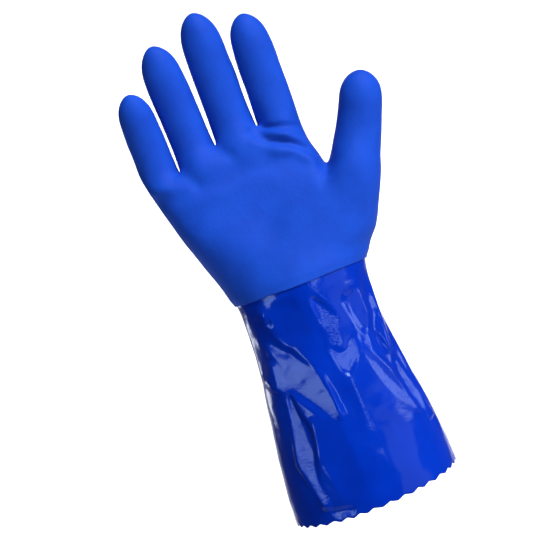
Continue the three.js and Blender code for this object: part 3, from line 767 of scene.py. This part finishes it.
# Materials. Each has one short function, and reads Object coordinates or its piece's attribute.


def add_node(tree, kind, sockets, **settings):
    """A new node with its settings. Each of its sockets takes a value or another node's output."""
    node = tree.nodes.new(kind)
    for name, value in settings.items():
        setattr(node, name, value)
    for name, value in sockets.items():
        if isinstance(value, bpy.types.NodeSocket):
            tree.links.new(value, node.inputs[name])
        else:
            node.inputs[name].default_value = value
    return node


def noise_pattern(tree, size, detail=2.0, stretch=(1, 1, 1)):
    """A noise pattern whose patches are about size wide, stretched along the axes."""
    place = add_node(tree, "ShaderNodeTexCoord", {}).outputs["Object"]
    scale = [1 / (size * k) for k in stretch]
    mapped = add_node(tree, "ShaderNodeMapping", {"Vector": place, "Scale": scale})
    sockets = {"Vector": mapped.outputs["Vector"], "Scale": 1, "Detail": detail}
    return add_node(tree, "ShaderNodeTexNoise", sockets).outputs["Fac"]


def in_range(tree, value, low=0.35, high=0.65, to_low=0.0, to_high=1.0):
    """Maps a value between low and high to another range, clamped."""
    ranges = {"From Min": low, "From Max": high, "To Min": to_low, "To Max": to_high}
    return add_node(tree, "ShaderNodeMapRange", {"Value": value, **ranges}).outputs["Result"]


def mottled(tree, pattern, shade, colour):
    """A colour with patches of its shade."""
    sockets = {"Factor": in_range(tree, pattern), "A": (*shade, 1), "B": (*colour, 1)}
    return add_node(tree, "ShaderNodeMix", sockets, data_type="RGBA").outputs["Result"]


def bump(tree, pattern, height, **below):
    """A bump of that height, over another Normal where given."""
    sockets = {"Strength": 1, "Distance": height, "Height": pattern, **below}
    return add_node(tree, "ShaderNodeBump", sockets).outputs["Normal"]


def new_material(name):
    """An empty node material and its tree."""
    material = bpy.data.materials.new(name)
    material.use_nodes = True
    material.node_tree.nodes.clear()
    return material, material.node_tree


def add_shader(tree, sockets):
    """The material's shader and output."""
    shader = add_node(tree, "ShaderNodeBsdfPrincipled", sockets)
    add_node(tree, "ShaderNodeOutputMaterial", {"Surface": shader.outputs["BSDF"]})


def sandy_pvc(finish):
    """The hand's matt coating: sandy grain over faint settled marks, and a mottled colour."""
    material, tree = new_material("hand_sandy_pvc")
    mottle = noise_pattern(tree, size=14 * MM, detail=3)
    marks = bump(tree, noise_pattern(tree, size=3.5 * MM), height=0.12 * MM)
    grain = noise_pattern(tree, finish.grain_size, detail=3)
    smoother = finish.hand_roughness
    rougher = smoother + 0.08
    sockets = {
        "Base Color": mottled(tree, mottle, finish.hand_shade, finish.hand_colour),
        "Normal": bump(tree, grain, finish.grain_height, Normal=marks),
        "Roughness": in_range(tree, mottle, low=0.3, high=0.7, to_low=smoother, to_high=rougher),
        "Specular IOR Level": 0.13,
    }
    add_shader(tree, sockets)
    return material


def glossy_pvc(finish):
    """The gauntlet's wet-look coating, with fine wrinkles that tear its highlights' edges."""
    material, tree = new_material("gauntlet_glossy_pvc")
    mottle = noise_pattern(tree, size=25 * MM)
    waves = bump(tree, noise_pattern(tree, size=9 * MM, detail=1), height=0.35 * MM)
    wrinkles = noise_pattern(tree, finish.wrinkle_size, detail=3, stretch=(2.2, 2.2, 1))
    crumple = add_node(tree, "ShaderNodeAttribute", {}, attribute_name=CRUMPLE).outputs["Fac"]
    where = in_range(tree, crumple, low=0, high=1, to_low=0.12)
    torn = add_node(tree, "ShaderNodeMath", {0: wrinkles, 1: where}, operation="MULTIPLY")
    sockets = {
        "Base Color": mottled(tree, mottle, finish.gauntlet_shade, finish.gauntlet_colour),
        "Normal": bump(tree, torn.outputs["Value"], finish.wrinkle_height, Normal=waves),
        "Roughness": finish.gauntlet_roughness,
        "Specular IOR Level": 0.31,
        "Specular Tint": (0.45, 0.68, 1, 1),
    }
    add_shader(tree, sockets)
    return material


def matt_material(name, tint, grain, height):
    """A plain matt material with a fine grain."""
    material, tree = new_material(name)
    sockets = {
        "Base Color": (*tint, 1),
        "Normal": bump(tree, grain(tree), height),
        "Roughness": 0.9,
    }
    add_shader(tree, sockets)
    return material


def plain_inside(finish):
    """The plain matt inner side, with a faint weave."""
    weave = partial(noise_pattern, size=0.9 * MM, detail=1)
    return matt_material("glove_inside", finish.inside_colour, weave, 0.08 * MM)


def paper(look):
    """Seamless pale paper, with a faint fibre."""
    fibre = partial(noise_pattern, size=2 * MM)
    return matt_material("studio_paper", look.paper_colour, fibre, 0.02 * MM)


class WORKGLOVE_OT_hand(bpy.types.Operator):
    """Builds the seamless matt coating of palm, fingers and thumb"""

    bl_idname = "workglove.hand"
    bl_label = "Hand"

    def execute(self, context):
        sizes = context.scene.glove_hand
        cage = HandCage(sizes)
        mesh = bpy.data.meshes.new("hand_skin")
        mesh.from_pydata(cage.control_points().tolist(), [], cage.quads)
        skin = new_object("hand_coating", mesh)
        smooth = skin.modifiers.new("smooth", "SUBSURF")
        smooth.levels = SMOOTH_LEVELS
        smooth.render_levels = SMOOTH_LEVELS
        mesh = settle(skin)
        raise_forms(mesh, cage, FORMS)
        raise_forms(mesh, cage, CREASES)
        roughen(mesh, HAND_WAVES)
        thinned = self.finish_edge(mesh, sizes)
        finish = context.scene.glove_finish
        mesh.materials.append(sandy_pvc(finish))
        mesh.materials.append(plain_inside(finish))
        give_wall(skin, sizes.wall - thinned)
        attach(skin, "root")
        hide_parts("hand")
        return {"FINISHED"}

    def finish_edge(self, mesh, sizes):
        """Thins the coating towards its edge and lets the dip line wander; returns the thinning."""
        places = vertex_array(mesh)
        normals = vertex_array(mesh, "normal")
        height = places[:, 2] - DIP_LINE
        thinned = sizes.edge_thinning * (1 - smoothstep(height, 0, EDGE_BAND))
        wave = np.array([self.dip_wave(Vector(p)) for p in places])
        places = places - normals * thinned[:, None]
        places[:, 2] += sizes.dip_wave * wave * (1 - smoothstep(height, 0, LAP))
        set_vertices(mesh, places)
        return thinned

    def dip_wave(self, place):
        """How far the dip line strays at a place, from -1 to 1."""
        x, y, _ = place
        long_place = (x / DIP_WAVE_SIZE, y / DIP_WAVE_SIZE, DIP_WAVE_DEPTH)
        ripple_place = (x / DIP_RIPPLE_SIZE, y / DIP_RIPPLE_SIZE, DIP_RIPPLE_DEPTH)
        return noise.noise(Vector(long_place)) + DIP_RIPPLE * noise.noise(Vector(ripple_place))


# Sections of the gauntlet from its upper edge down. up is a share of its length below the dip line,
# flare runs from the waist (0) to the hem (1), and wrist is the share still taken from the wrist.
Section = namedtuple("Section", "up flare wrist")
SECTIONS = (
    Section(1, 0, 1),
    Section(0.975, 0, 0.72),
    Section(0.93, 0, 0.3),
    Section(0.87, 0, 0.07),
    Section(0.8, 0.01, 0),
    Section(0.73, 0.07, 0),
    Section(0.66, 0.17, 0),
    Section(0.59, 0.29, 0),
    Section(0.52, 0.41, 0),
    Section(0.45, 0.52, 0),
    Section(0.38, 0.63, 0),
    Section(0.31, 0.73, 0),
    Section(0.24, 0.82, 0),
    Section(0.17, 0.9, 0),
    Section(0.1, 0.96, 0),
    Section(0, 1, 0),
)

# Folds of the gauntlet. Each crest passes through a few places from its upper end to its lower
# one: up is a share of the gauntlet's length, around is in degrees from the middle of the palm side
# towards the thumb, and rise is a share of the fold's height there. left and right are how wide the
# fold is on either side of its crest, in degrees.
Fold = namedtuple("Fold", "name up around rise left right")
SLANT_UP = (0.8, 0.724, 0.65, 0.576, 0.49, 0.41, 0.27)
SLANT_AROUND = (-45, -31, -18, -11, -8, -6, -9)
FOLDS = (
    Fold("tail_ridge", (0.6, 0.45, 0.3), (10, 11, 10), (0, 0.18, 0), 4, 6),
    Fold("middle_valley", (0.98, 0.8, 0.5, 0.2), (-6, -2, 1, 2), (0, -0.12, -0.2, 0), 9, 8),
    Fold("slant_ridge", SLANT_UP, SLANT_AROUND, (0, 0.05, 0.1, 0.12, 0.12, 0.1, 0), 10, 15),
    Fold("palm_dent", (0.98, 0.86, 0.74), (-12, -16, -18), (0, -0.3, 0), 13, 13),
    Fold("thumb_ridge", (0.72, 0.5, 0.38, 0.2), (28, 42, 51, 62), (0, 0.3, 0.3, 0), 8, 9),
    Fold("thumb_groove", (0.98, 0.8, 0.66, 0.5), (66, 58, 50, 42), (0, -0.5, -0.5, 0), 7, 6),
    Fold("edge_pleat", (0.97, 0.8, 0.64, 0.48), (82, 71, 60, 53), (0, 0.4, 0.4, 0), 5, 5),
    Fold("thumb_pleat", (0.82, 0.5, 0.28, 0.1), (80, 70, 72, 75), (0, 0.3, 0.4, 0), 5, 5),
    Fold("pleat_groove", (0.72, 0.5, 0.2), (72, 61, 63), (0, -0.4, 0), 5, 5),
    Fold("thumb_hollow", (0.95, 0.62, 0.3), (94, 94, 94), (0, -0.4, 0), 16, 20),
    Fold("side_pleat", (0.98, 0.8, 0.6), (-84, -81, -78), (0, 0.25, 0), 10, 10),
    Fold("back_ridge", (0.9, 0.55, 0.2), (165, 180, 190), (0, 0.8, 0), 18, 18),
    Fold("back_valley", (0.95, 0.5, 0.15), (205, 214, 222), (0, -0.8, 0), 15, 15),
    Fold("back_groove", (0.98, 0.6, 0.25), (130, 135, 140), (0, -0.7, 0), 14, 14),
)

# Flat places between the folds, as stiff coated cloth makes them on the palm side. turn and tilt
# are where a flat faces, in degrees towards the thumb and upwards, and soft is how far in mm it
# fades into the wall round it. The corners of its outline are given across, as a share of half the
# waist's width, and up, as a share of the gauntlet's length.
Flat = namedtuple("Flat", "name turn tilt soft corners")
FLATS = (
    Flat("wrist_plain", -13, 1, 7, [(-0.65, 0.92), (-0.25, 0.92), (-0.2, 0.8), (-0.45, 0.8)]),
    Flat("thumb_plain", 20, 4, 7, [(0.62, 0.86), (0.72, 0.86), (0.76, 0.77), (0.7, 0.74)]),
    Flat("low_plain", -13, 6, 6, [
        (-0.5, 0.4), (-0.25, 0.37), (-0.2, 0.1), (-0.42, 0.08), (-0.57, 0.25),
    ]),
    Flat("slant_flat", -24, 8, 5, [
        (-0.71, 0.78), (-0.51, 0.724), (-0.33, 0.652), (-0.21, 0.576), (-0.157, 0.492),
        (-0.13, 0.41), (-0.24, 0.424), (-0.42, 0.487), (-0.64, 0.574), (-0.88, 0.611),
        (-0.92, 0.64), (-0.785, 0.697), (-0.56, 0.655), (-0.7, 0.74),
    ]),
    Flat("low_flat", -22.6, 9.4, 3, [
        (-0.73, 0.54), (-0.7, 0.455), (-0.63, 0.386), (-0.66, 0.318), (-0.747, 0.227),
        (-0.772, 0.152), (-0.734, 0.053), (-0.785, 0.053), (-0.86, 0.167), (-0.93, 0.25),
        (-0.86, 0.364), (-0.785, 0.455),
    ]),
    Flat("streak_flat", 8, 6.5, 3.5, [
        (0.12, 0.91), (0.19, 0.88), (0.34, 0.795), (0.26, 0.757), (0.21, 0.71),
        (0.1, 0.7), (0.14, 0.757), (0.11, 0.8), (0.13, 0.85),
    ]),
    Flat("heart_flat", 9, 9, 3.5, [
        (0.076, 0.68), (0.215, 0.652), (0.316, 0.655), (0.405, 0.69), (0.48, 0.693),
        (0.47, 0.644), (0.354, 0.6), (0.228, 0.564), (0.177, 0.58), (0.096, 0.642),
    ]),
    Flat("thumb_flat", 34.5, 9.8, 3.5, [
        (0.557, 0.6), (0.658, 0.56), (0.785, 0.47), (0.91, 0.386), (1.025, 0.3),
        (0.95, 0.31), (0.77, 0.41), (0.61, 0.53),
    ]),
    Flat("edge_flat", 38, 10, 2, [
        (0.823, 0.667), (0.911, 0.576), (0.987, 0.485), (1.063, 0.386), (1.165, 0.25),
        (1.114, 0.242), (0.987, 0.379), (0.9, 0.485), (0.823, 0.606),
    ]),
    Flat("dimple", -24, 8, 2, [(-0.67, 0.87), (-0.63, 0.887), (-0.6, 0.875), (-0.61, 0.86)]),
    Flat("hem_curl", -22, 11, 2, [(-0.7, 0.02), (-0.42, 0.01), (-0.4, -0.035), (-0.68, -0.01)]),
)

# Lines along which the coating is crumpled into fine wrinkles, placed as the flats' corners are.
# reach is in mm, and strength is a share of the wrinkles' height.
CRUMPLE = "crumple"  # the attribute that carries it to the material
Crumple = namedtuple("Crumple", "name reach strength line")
CRUMPLES = (
    Crumple("centre_streak", 6, 1, [(0.12, 0.97), (0.25, 0.8), (0.15, 0.7)]),
    Crumple("low_streak", 7, 0.62, [(-0.73, 0.54), (-0.82, 0.3), (-0.77, 0.03)]),
    Crumple("slant_rim", 4, 0.9, [(-0.92, 0.6), (-0.64, 0.56), (-0.42, 0.47), (-0.2, 0.4)]),
    Crumple("tail", 3, 0.8, [(0.22, 0.5), (0.23, 0.3)]),
    Crumple("hem", 6, 0.6, [(-0.6, 0.04), (-0.1, 0.02)]),
    Crumple("thumb_edge", 7, 0.6, [(0.6, 0.6), (0.95, 0.3)]),
)
ROW_STEP = 1.25 * MM
COLUMNS_PER_TOOTH = 9
HEM_BAND = 6 * MM  # the teeth's slopes fade out over this height
FLAT_REACH = 1.5 * MM  # no flat place moves the wall farther than this
FLAT_PRESS = 0.5 * MM  # a flat place lies this far below the wall's mean
LEVEL_GUARD = 1e-12  # keeps a level edge of an outline from dividing by zero


def fold_rise(around, up):
    """How far the folds lift the wall, as a share of the highest fold."""
    rise = np.zeros_like(around)
    for fold in FOLDS:
        crest = smooth_table(up, fold.up, fold.around)
        height = smooth_table(up, fold.up, fold.rise)
        inside = (up <= max(fold.up)) & (up >= min(fold.up))
        away = (around - crest + 180) % 360 - 180
        width = np.where(away < 0, fold.left, fold.right)
        rise += np.where(inside, height, 0) * np.exp(-((away / width) ** 2))
    return rise


def in_metres(corners, sizes):
    """Across and up, in metres, of places given as shares of the gauntlet's size."""
    return np.array(corners) * (sizes.waist_width / 2, DIP_LINE)


def outline_depth(places, outline):
    """How far inside a closed outline each place lies; below 0 outside it."""
    inside = np.zeros(len(places), bool)
    x, y = places.T
    for a, b in zip(outline, np.roll(outline, -1, axis=0)):
        crosses = (a[1] > y) != (b[1] > y)
        climb = b[1] - a[1] + LEVEL_GUARD
        inside ^= crosses & (x < a[0] + (y - a[1]) / climb * (b[0] - a[0]))
    away = distance_to_line(places, np.concatenate([outline, outline[:1]]))
    return np.where(inside, away, -away)


def press_flats(grid, outward, sizes):
    """Presses the flat places into the wall's rows and columns of points."""
    places = grid.reshape(-1, 3)
    out = outward.reshape(-1, 3)
    for flat in FLATS:
        depth = outline_depth(places[:, [0, 2]], in_metres(flat.corners, sizes))
        depth[places[:, 1] >= 0] = -1
        turned, tilted = math.radians(flat.turn), math.radians(flat.tilt)
        level = math.cos(tilted)
        facing = np.array((math.sin(turned) * level, -math.cos(turned) * level, math.sin(tilted)))
        share = smoothstep(depth, -flat.soft * MM, 0)
        near = share > 0
        off = (places @ facing)[depth > 0].mean() - places[near] @ facing
        off = np.clip(off / (out[near] @ facing) - FLAT_PRESS, -FLAT_REACH, FLAT_REACH)
        places[near] += out[near] * (share[near] * off)[:, None]
    return places.reshape(grid.shape)


def crumpling(places, sizes):
    """How much the coating is crumpled at each place of the palm side, from 0 to 1."""
    amount = np.zeros(len(places))
    for crumple in CRUMPLES:
        away = distance_to_line(places[:, [0, 2]], in_metres(crumple.line, sizes))
        soft = crumple.strength * np.exp(-((away / (crumple.reach * MM)) ** 2))
        amount = np.maximum(amount, np.where(places[:, 1] < 0, soft, 0))
    return amount


def gauntlet_skin(sizes, hand):
    """Rows and columns of the gauntlet's outer skin, from its upper edge down to the hem."""
    girth = math.pi * (sizes.hem_width + sizes.hem_depth) / 2
    teeth = round(girth / sizes.tooth_pitch)
    columns = teeth * COLUMNS_PER_TOOTH
    heights = np.linspace(1 + sizes.lap / DIP_LINE, 0, round((DIP_LINE + sizes.lap) / ROW_STEP))
    up, place = np.meshgrid(heights, np.arange(columns) / columns, indexing="ij")
    around = place * 360
    angle = np.radians(around)
    across = np.sin(angle)
    forward = -np.cos(angle)
    below = np.minimum(up, 1)
    rows = list(zip(*SECTIONS))
    flare = smooth_table(below, rows[0], rows[1])
    wrist = smooth_table(below, rows[0], rows[2])
    lap_share = np.clip((up - 1) * DIP_LINE / sizes.lap, 0, 1)
    cage = HandCage(hand)
    left, right = cage.wrist_sides(lap_share)
    inset = hand.wall + sizes.lap_gap
    wrist_half = (right - left) / 2 - inset
    wrist_middle = (left + right) / 2
    wrist_deep = cage.wrist_half_depth(lap_share) - inset
    x = lerp(sizes.waist_offset + across * sizes.waist_width / 2, across * sizes.hem_width / 2, flare)
    y = lerp(forward * sizes.waist_depth / 2, forward * sizes.hem_depth / 2, flare)
    x = lerp(x, wrist_middle + across * wrist_half, wrist)
    y = lerp(y, forward * wrist_deep, wrist)
    rise = fold_rise(around, below) * sizes.fold_height * (1 - wrist)
    x += across * rise
    y += forward * rise
    slope = sizes.hem_slope * forward + sizes.hem_lean * across
    z = up * DIP_LINE + slope * (1 - below)
    outward = np.stack([across, forward, np.zeros_like(across)], axis=-1)
    grid = press_flats(np.stack([x, y, z], axis=-1), outward, sizes)
    return grid, place, up, teeth


def grid_mesh(name, grid, place, up, band):
    """A closed ring of quads from rows and columns, with what the pinked hem reads."""
    rows, columns = grid.shape[:2]
    index = np.arange(rows * columns).reshape(rows, columns)
    right = np.roll(index, -1, axis=1)
    faces = np.stack([index[1:], right[1:], right[:-1], index[:-1]], axis=-1).reshape(-1, 4)
    mesh = bpy.data.meshes.new(name)
    mesh.from_pydata(grid.reshape(-1, 3).tolist(), [], faces.tolist())
    around = mesh.attributes.new("around", "FLOAT", "POINT")
    around.data.foreach_set("value", place.ravel())
    hem = mesh.attributes.new("hem", "FLOAT", "POINT")
    hem.data.foreach_set("value", (1 - smoothstep(up * DIP_LINE, 0, band)).ravel())
    return mesh


UNEVENNESS_SCALE = 60  # of the noise along the hem, in patches to a metre
DRIFT_GAIN = 4  # the noise strays about a quarter from its middle, and this makes that about one
NOTCH_TOP = 0.94  # a notch is cut off at this share of a tooth's height
NOTCH_ROUNDING = 0.25


def pinking_tree():
    """Geometry nodes that cut the hem's teeth into the skin's lower edge."""
    tree = bpy.data.node_groups.new("pinked_hem", "GeometryNodeTree")
    inputs = (
        ("Geometry", "Geometry"),
        ("Teeth", "Int"),
        ("Tooth Depth", "Float"),
        ("Drift", "Float"),
        ("Seed", "Int"),
        ("Material", "Material"),
    )
    for name, kind in inputs:
        tree.interface.new_socket(name, in_out="INPUT", socket_type="NodeSocket" + kind)
    tree.interface.new_socket("Geometry", in_out="OUTPUT", socket_type="NodeSocketGeometry")
    given = add_node(tree, "NodeGroupInput", {}).outputs

    def named(name):
        sockets = {"Name": name}
        node = add_node(tree, "GeometryNodeInputNamedAttribute", sockets, data_type="FLOAT")
        return node.outputs["Attribute"]

    def math_node(operation, *values):
        node = add_node(tree, "ShaderNodeMath", dict(enumerate(values)), operation=operation)
        return node.outputs["Value"]

    place = add_node(tree, "GeometryNodeInputPosition", {}).outputs["Position"]
    sockets = {"Vector": place, "W": given["Seed"], "Scale": UNEVENNESS_SCALE}
    unevenness = add_node(tree, "ShaderNodeTexNoise", sockets, noise_dimensions="4D")
    centred = math_node("SUBTRACT", unevenness.outputs["Fac"], 0.5)
    drift = math_node("MULTIPLY", centred, given["Drift"])
    drift = math_node("MULTIPLY", drift, DRIFT_GAIN)
    tooth = math_node("MULTIPLY", named("around"), given["Teeth"])
    tooth = math_node("ADD", tooth, drift)
    tip_to_notch = math_node("PINGPONG", tooth, 0.5)
    slope = math_node("MULTIPLY", tip_to_notch, 2)
    rounded = math_node("SMOOTH_MIN", slope, NOTCH_TOP, NOTCH_ROUNDING)
    depth = math_node("MULTIPLY", rounded, given["Tooth Depth"])
    lift = math_node("MULTIPLY", depth, named("hem"))
    offset = add_node(tree, "ShaderNodeCombineXYZ", {"Z": lift}).outputs["Vector"]
    sockets = {"Geometry": given["Geometry"], "Offset": offset}
    pinked = add_node(tree, "GeometryNodeSetPosition", sockets).outputs["Geometry"]
    plain = add_node(tree, "GeometryNodeRealizeInstances", {"Geometry": pinked}).outputs["Geometry"]
    sockets = {"Geometry": plain, "Material": given["Material"]}
    coated = add_node(tree, "GeometryNodeSetMaterial", sockets).outputs["Geometry"]
    add_node(tree, "NodeGroupOutput", {"Geometry": coated})
    return tree


def set_inputs(modifier, values):
    """Sets a Geometry Nodes modifier's inputs by their sockets' identifiers."""
    for item in modifier.node_group.interface.items_tree:
        if item.in_out == "INPUT" and item.name in values:
            modifier[item.identifier] = values[item.name]


class WORKGLOVE_OT_gauntlet(bpy.types.Operator):
    """Builds the glossy gauntlet with its folds and pinked hem"""

    bl_idname = "workglove.gauntlet"
    bl_label = "Gauntlet"

    def execute(self, context):
        sizes = context.scene.glove_gauntlet
        finish = context.scene.glove_finish
        grid, place, up, teeth = gauntlet_skin(sizes, context.scene.glove_hand)
        skin = new_object("gauntlet_cuff", grid_mesh("cuff_skin", grid, place, up, HEM_BAND))
        pinking = skin.modifiers.new("pinking", "NODES")
        pinking.node_group = pinking_tree()
        values = {
            "Teeth": teeth,
            "Tooth Depth": sizes.tooth_depth,
            "Drift": sizes.tooth_drift,
            "Seed": sizes.seed,
            "Material": glossy_pvc(finish),
        }
        set_inputs(pinking, values)
        mesh = settle(skin)
        mesh.materials.append(plain_inside(finish))
        roughen(mesh, CUFF_WAVES)
        crumple = mesh.attributes.new(CRUMPLE, "FLOAT", "POINT")
        crumple.data.foreach_set("value", crumpling(vertex_array(mesh), sizes))
        give_wall(skin, sizes.wall, kept=CRUMPLE)
        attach(skin, "root")
        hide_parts("gauntlet")
        return {"FINISHED"}


def picture_axes(roll):
    """The picture's right, up and back directions in the glove's frame."""
    right = Vector((math.cos(roll), 0, -math.sin(roll)))
    up = Vector((math.sin(roll), 0, math.cos(roll)))
    return right, up, Vector((0, -1, 0))


# Soft lights round the glove. Places are in the picture's own directions from its middle: right,
# up and towards the camera, in metres. wide and high are the panel's sides, and power is in watts.
Softbox = namedtuple("Softbox", "name right up near wide high power")
SOFTBOXES = (
    Softbox("key_panel", 0.65, 2.2, 1.6, 1.2, 1.2, 106),
    Softbox("front_panel", 0.3, 0.33, 1.144, 0.18, 0.25, 1.0),
    Softbox("left_panel", -0.795, -0.18, 0.808, 0.28, 0.22, 1.35),
    Softbox("right_panel", 0.987, 0.502, 0.359, 0.34, 0.24, 1.8),
    Softbox("rim_panel", -0.22, -0.143, -0.188, 0.08, 0.04, 0.07),
    Softbox("side_fill", 1.1, 0.25, 1.0, 1.0, 0.6, 2.1),
)

# The paper sheet, in metres from the glove: half its width, where it starts in front, where it
# stands behind, how high it goes and how wide its bend is.
Sheet = namedtuple("Sheet", "wide front behind high bend")
SHEET = Sheet(1.7, -1.3, 2.2, 3.2, 0.9)
BEND_STEPS = 24
PAPER_WASH = 22  # watts, from a square light that stands between the glove and the paper
PAPER_WASH_SIZE = 1.6
PAPER_WASH_PLACE = 1.2
ROOM_TOP = (0.25, 0.85, -0.45)  # where the room is brightest: right, up and towards the camera
ROOM_DARKEST = -0.9  # the cosine of the angle from there at which it gets no darker


class WORKGLOVE_OT_stage(bpy.types.Operator):
    """Builds the pale floor and backdrop, the soft lights and the camera"""

    bl_idname = "workglove.stage"
    bl_label = "Stage"

    def execute(self, context):
        look = context.scene.glove_stage
        self.backdrop(look)
        self.paper_light(look)
        right, up, back = picture_axes(look.roll)
        aim = Vector((look.aim_x, 0, look.aim_z))
        for box in SOFTBOXES:
            self.softbox(box, aim, right, up, back)
        self.camera(context, look, aim, right, up, back)
        self.surroundings(context, look, right, up, back)
        return {"FINISHED"}

    def backdrop(self, look):
        """A sheet of paper that runs along the floor and curves up behind the glove."""
        floor = -look.floor_drop
        flat_end = SHEET.behind - SHEET.bend
        profile = [(SHEET.front, floor), (flat_end, floor)]
        for i in range(1, BEND_STEPS + 1):
            angle = math.pi / 2 * i / BEND_STEPS
            y = flat_end + SHEET.bend * math.sin(angle)
            profile.append((y, floor + SHEET.bend - SHEET.bend * math.cos(angle)))
        profile.append((SHEET.behind, floor + SHEET.high))
        points = [(x, y, z) for y, z in profile for x in (-SHEET.wide, SHEET.wide)]
        faces = [(2 * i, 2 * i + 1, 2 * i + 3, 2 * i + 2) for i in range(len(profile) - 1)]
        mesh = bpy.data.meshes.new("studio_paper")
        mesh.from_pydata(points, [], faces)
        mesh.materials.append(paper(look))
        mesh.polygons.foreach_set("use_smooth", [True] * len(mesh.polygons))
        sheet = new_object("studio_paper", mesh)

    def paper_light(self, look):
        """One wide light close to the paper, behind the glove and turned away from it."""
        place = Vector((look.aim_x, PAPER_WASH_PLACE, look.aim_z))
        axes = Vector((1, 0, 0)), Vector((0, 0, 1)), Vector((0, -1, 0))
        self.light("paper_wash", PAPER_WASH, PAPER_WASH_SIZE, PAPER_WASH_SIZE, place, axes)

    def softbox(self, box, aim, right, up, back):
        """One rectangular soft light that faces the glove, upright with it."""
        place = aim + right * box.right + up * box.up + back * box.near
        outward = (place - aim).normalized()
        sideways = Vector((0, 0, 1)).cross(outward).normalized()
        axes = sideways, outward.cross(sideways), outward
        self.light(box.name, box.power, box.wide, box.high, place, axes)

    def light(self, name, power, wide, high, place, axes):
        """One rectangular light, which shines against the last of its axes and isn't seen."""
        light = bpy.data.lights.new(name, "AREA")
        light.shape = "RECTANGLE"
        light.size = wide
        light.size_y = high
        light.energy = power
        lamp = new_object(name, light)
        self.stand(lamp, place, axes)
        lamp.visible_camera = False

    def stand(self, made, place, axes):
        """Puts a light or the camera at its place, turned to its axes."""
        made.location = place
        made.rotation_mode = "QUATERNION"
        made.rotation_quaternion = Matrix(axes).transposed().to_quaternion()

    def camera(self, context, look, aim, right, up, back):
        """The camera looks along +Y, rolled as in the picture."""
        camera = bpy.data.cameras.new("camera")
        camera.sensor_width = 36
        camera.lens = camera.sensor_width * look.camera_distance / look.frame_height
        camera.clip_start = 0.01
        camera.clip_end = 50
        seen = new_object("camera", camera)
        self.stand(seen, aim + back * look.camera_distance, (right, up, back))
        context.scene.camera = seen

    def surroundings(self, context, look, right, up, back):
        """A dim room that lights the glove, shown as pale paper, and colours shown as they are."""
        world = bpy.data.worlds.new("studio_room")
        world.use_nodes = True
        tree = world.node_tree
        tree.nodes.clear()
        place = add_node(tree, "ShaderNodeTexCoord", {}).outputs["Generated"]
        brightest = Matrix((right, up, back)).transposed() @ Vector(ROOM_TOP)
        sockets = {0: place, 1: brightest.normalized()}
        towards = add_node(tree, "ShaderNodeVectorMath", sockets, operation="DOT_PRODUCT")
        towards = towards.outputs["Value"]
        shade = in_range(tree, towards, ROOM_DARKEST, 1, look.room_low, look.room_high)
        lit = add_node(tree, "ShaderNodeBackground", {"Color": shade})
        seen = add_node(tree, "ShaderNodeBackground", {"Color": (*look.paper_colour, 1)})
        sockets = {
            "Fac": add_node(tree, "ShaderNodeLightPath", {}).outputs["Is Camera Ray"],
            1: lit.outputs["Background"],
            2: seen.outputs["Background"],
        }
        either = add_node(tree, "ShaderNodeMixShader", sockets).outputs["Shader"]
        add_node(tree, "ShaderNodeOutputWorld", {"Surface": either})
        context.scene.world = world
        context.scene.view_settings.view_transform = "Standard"


class WORKGLOVE_PT_panel(bpy.types.Panel):
    """Lists the glove's pieces"""

    bl_idname = "WORKGLOVE_PT_panel"
    bl_label = "Work glove"
    bl_space_type = "VIEW_3D"
    bl_region_type = "UI"
    bl_category = "Work glove"

    def draw(self, context):
        for name, group in (
            ("workglove.hand", context.scene.glove_hand),
            ("workglove.gauntlet", context.scene.glove_gauntlet),
            ("workglove.stage", context.scene.glove_stage),
        ):
            box = self.layout.box()
            box.operator(name)
            for key in group.__annotations__:
                box.prop(group, key)
        finish = self.layout.box()
        for key in context.scene.glove_finish.__annotations__:
            finish.prop(context.scene.glove_finish, key)


GROUPS = {
    "glove_hand": HandSizes,
    "glove_gauntlet": GauntletSizes,
    "glove_finish": GloveFinish,
    "glove_stage": StageLook,
}
CLASSES = (
    *GROUPS.values(),
    WORKGLOVE_OT_hand,
    WORKGLOVE_OT_gauntlet,
    WORKGLOVE_OT_stage,
    WORKGLOVE_PT_panel,
)


def register():
    """Registers the classes and hangs the property groups on the scene."""
    for made in CLASSES:
        bpy.utils.register_class(made)
    for name, group in GROUPS.items():
        setattr(bpy.types.Scene, name, PointerProperty(type=group))


def unregister():
    """Takes back what register added."""
    for name in GROUPS:
        delattr(bpy.types.Scene, name)
    for made in reversed(CLASSES):
        bpy.utils.unregister_class(made)


def main():
    """Builds the glove and its stage."""
    register()
    bpy.ops.workglove.stage()
    bpy.ops.workglove.hand()
    bpy.ops.workglove.gauntlet()


if __name__ == "__main__":
    main()
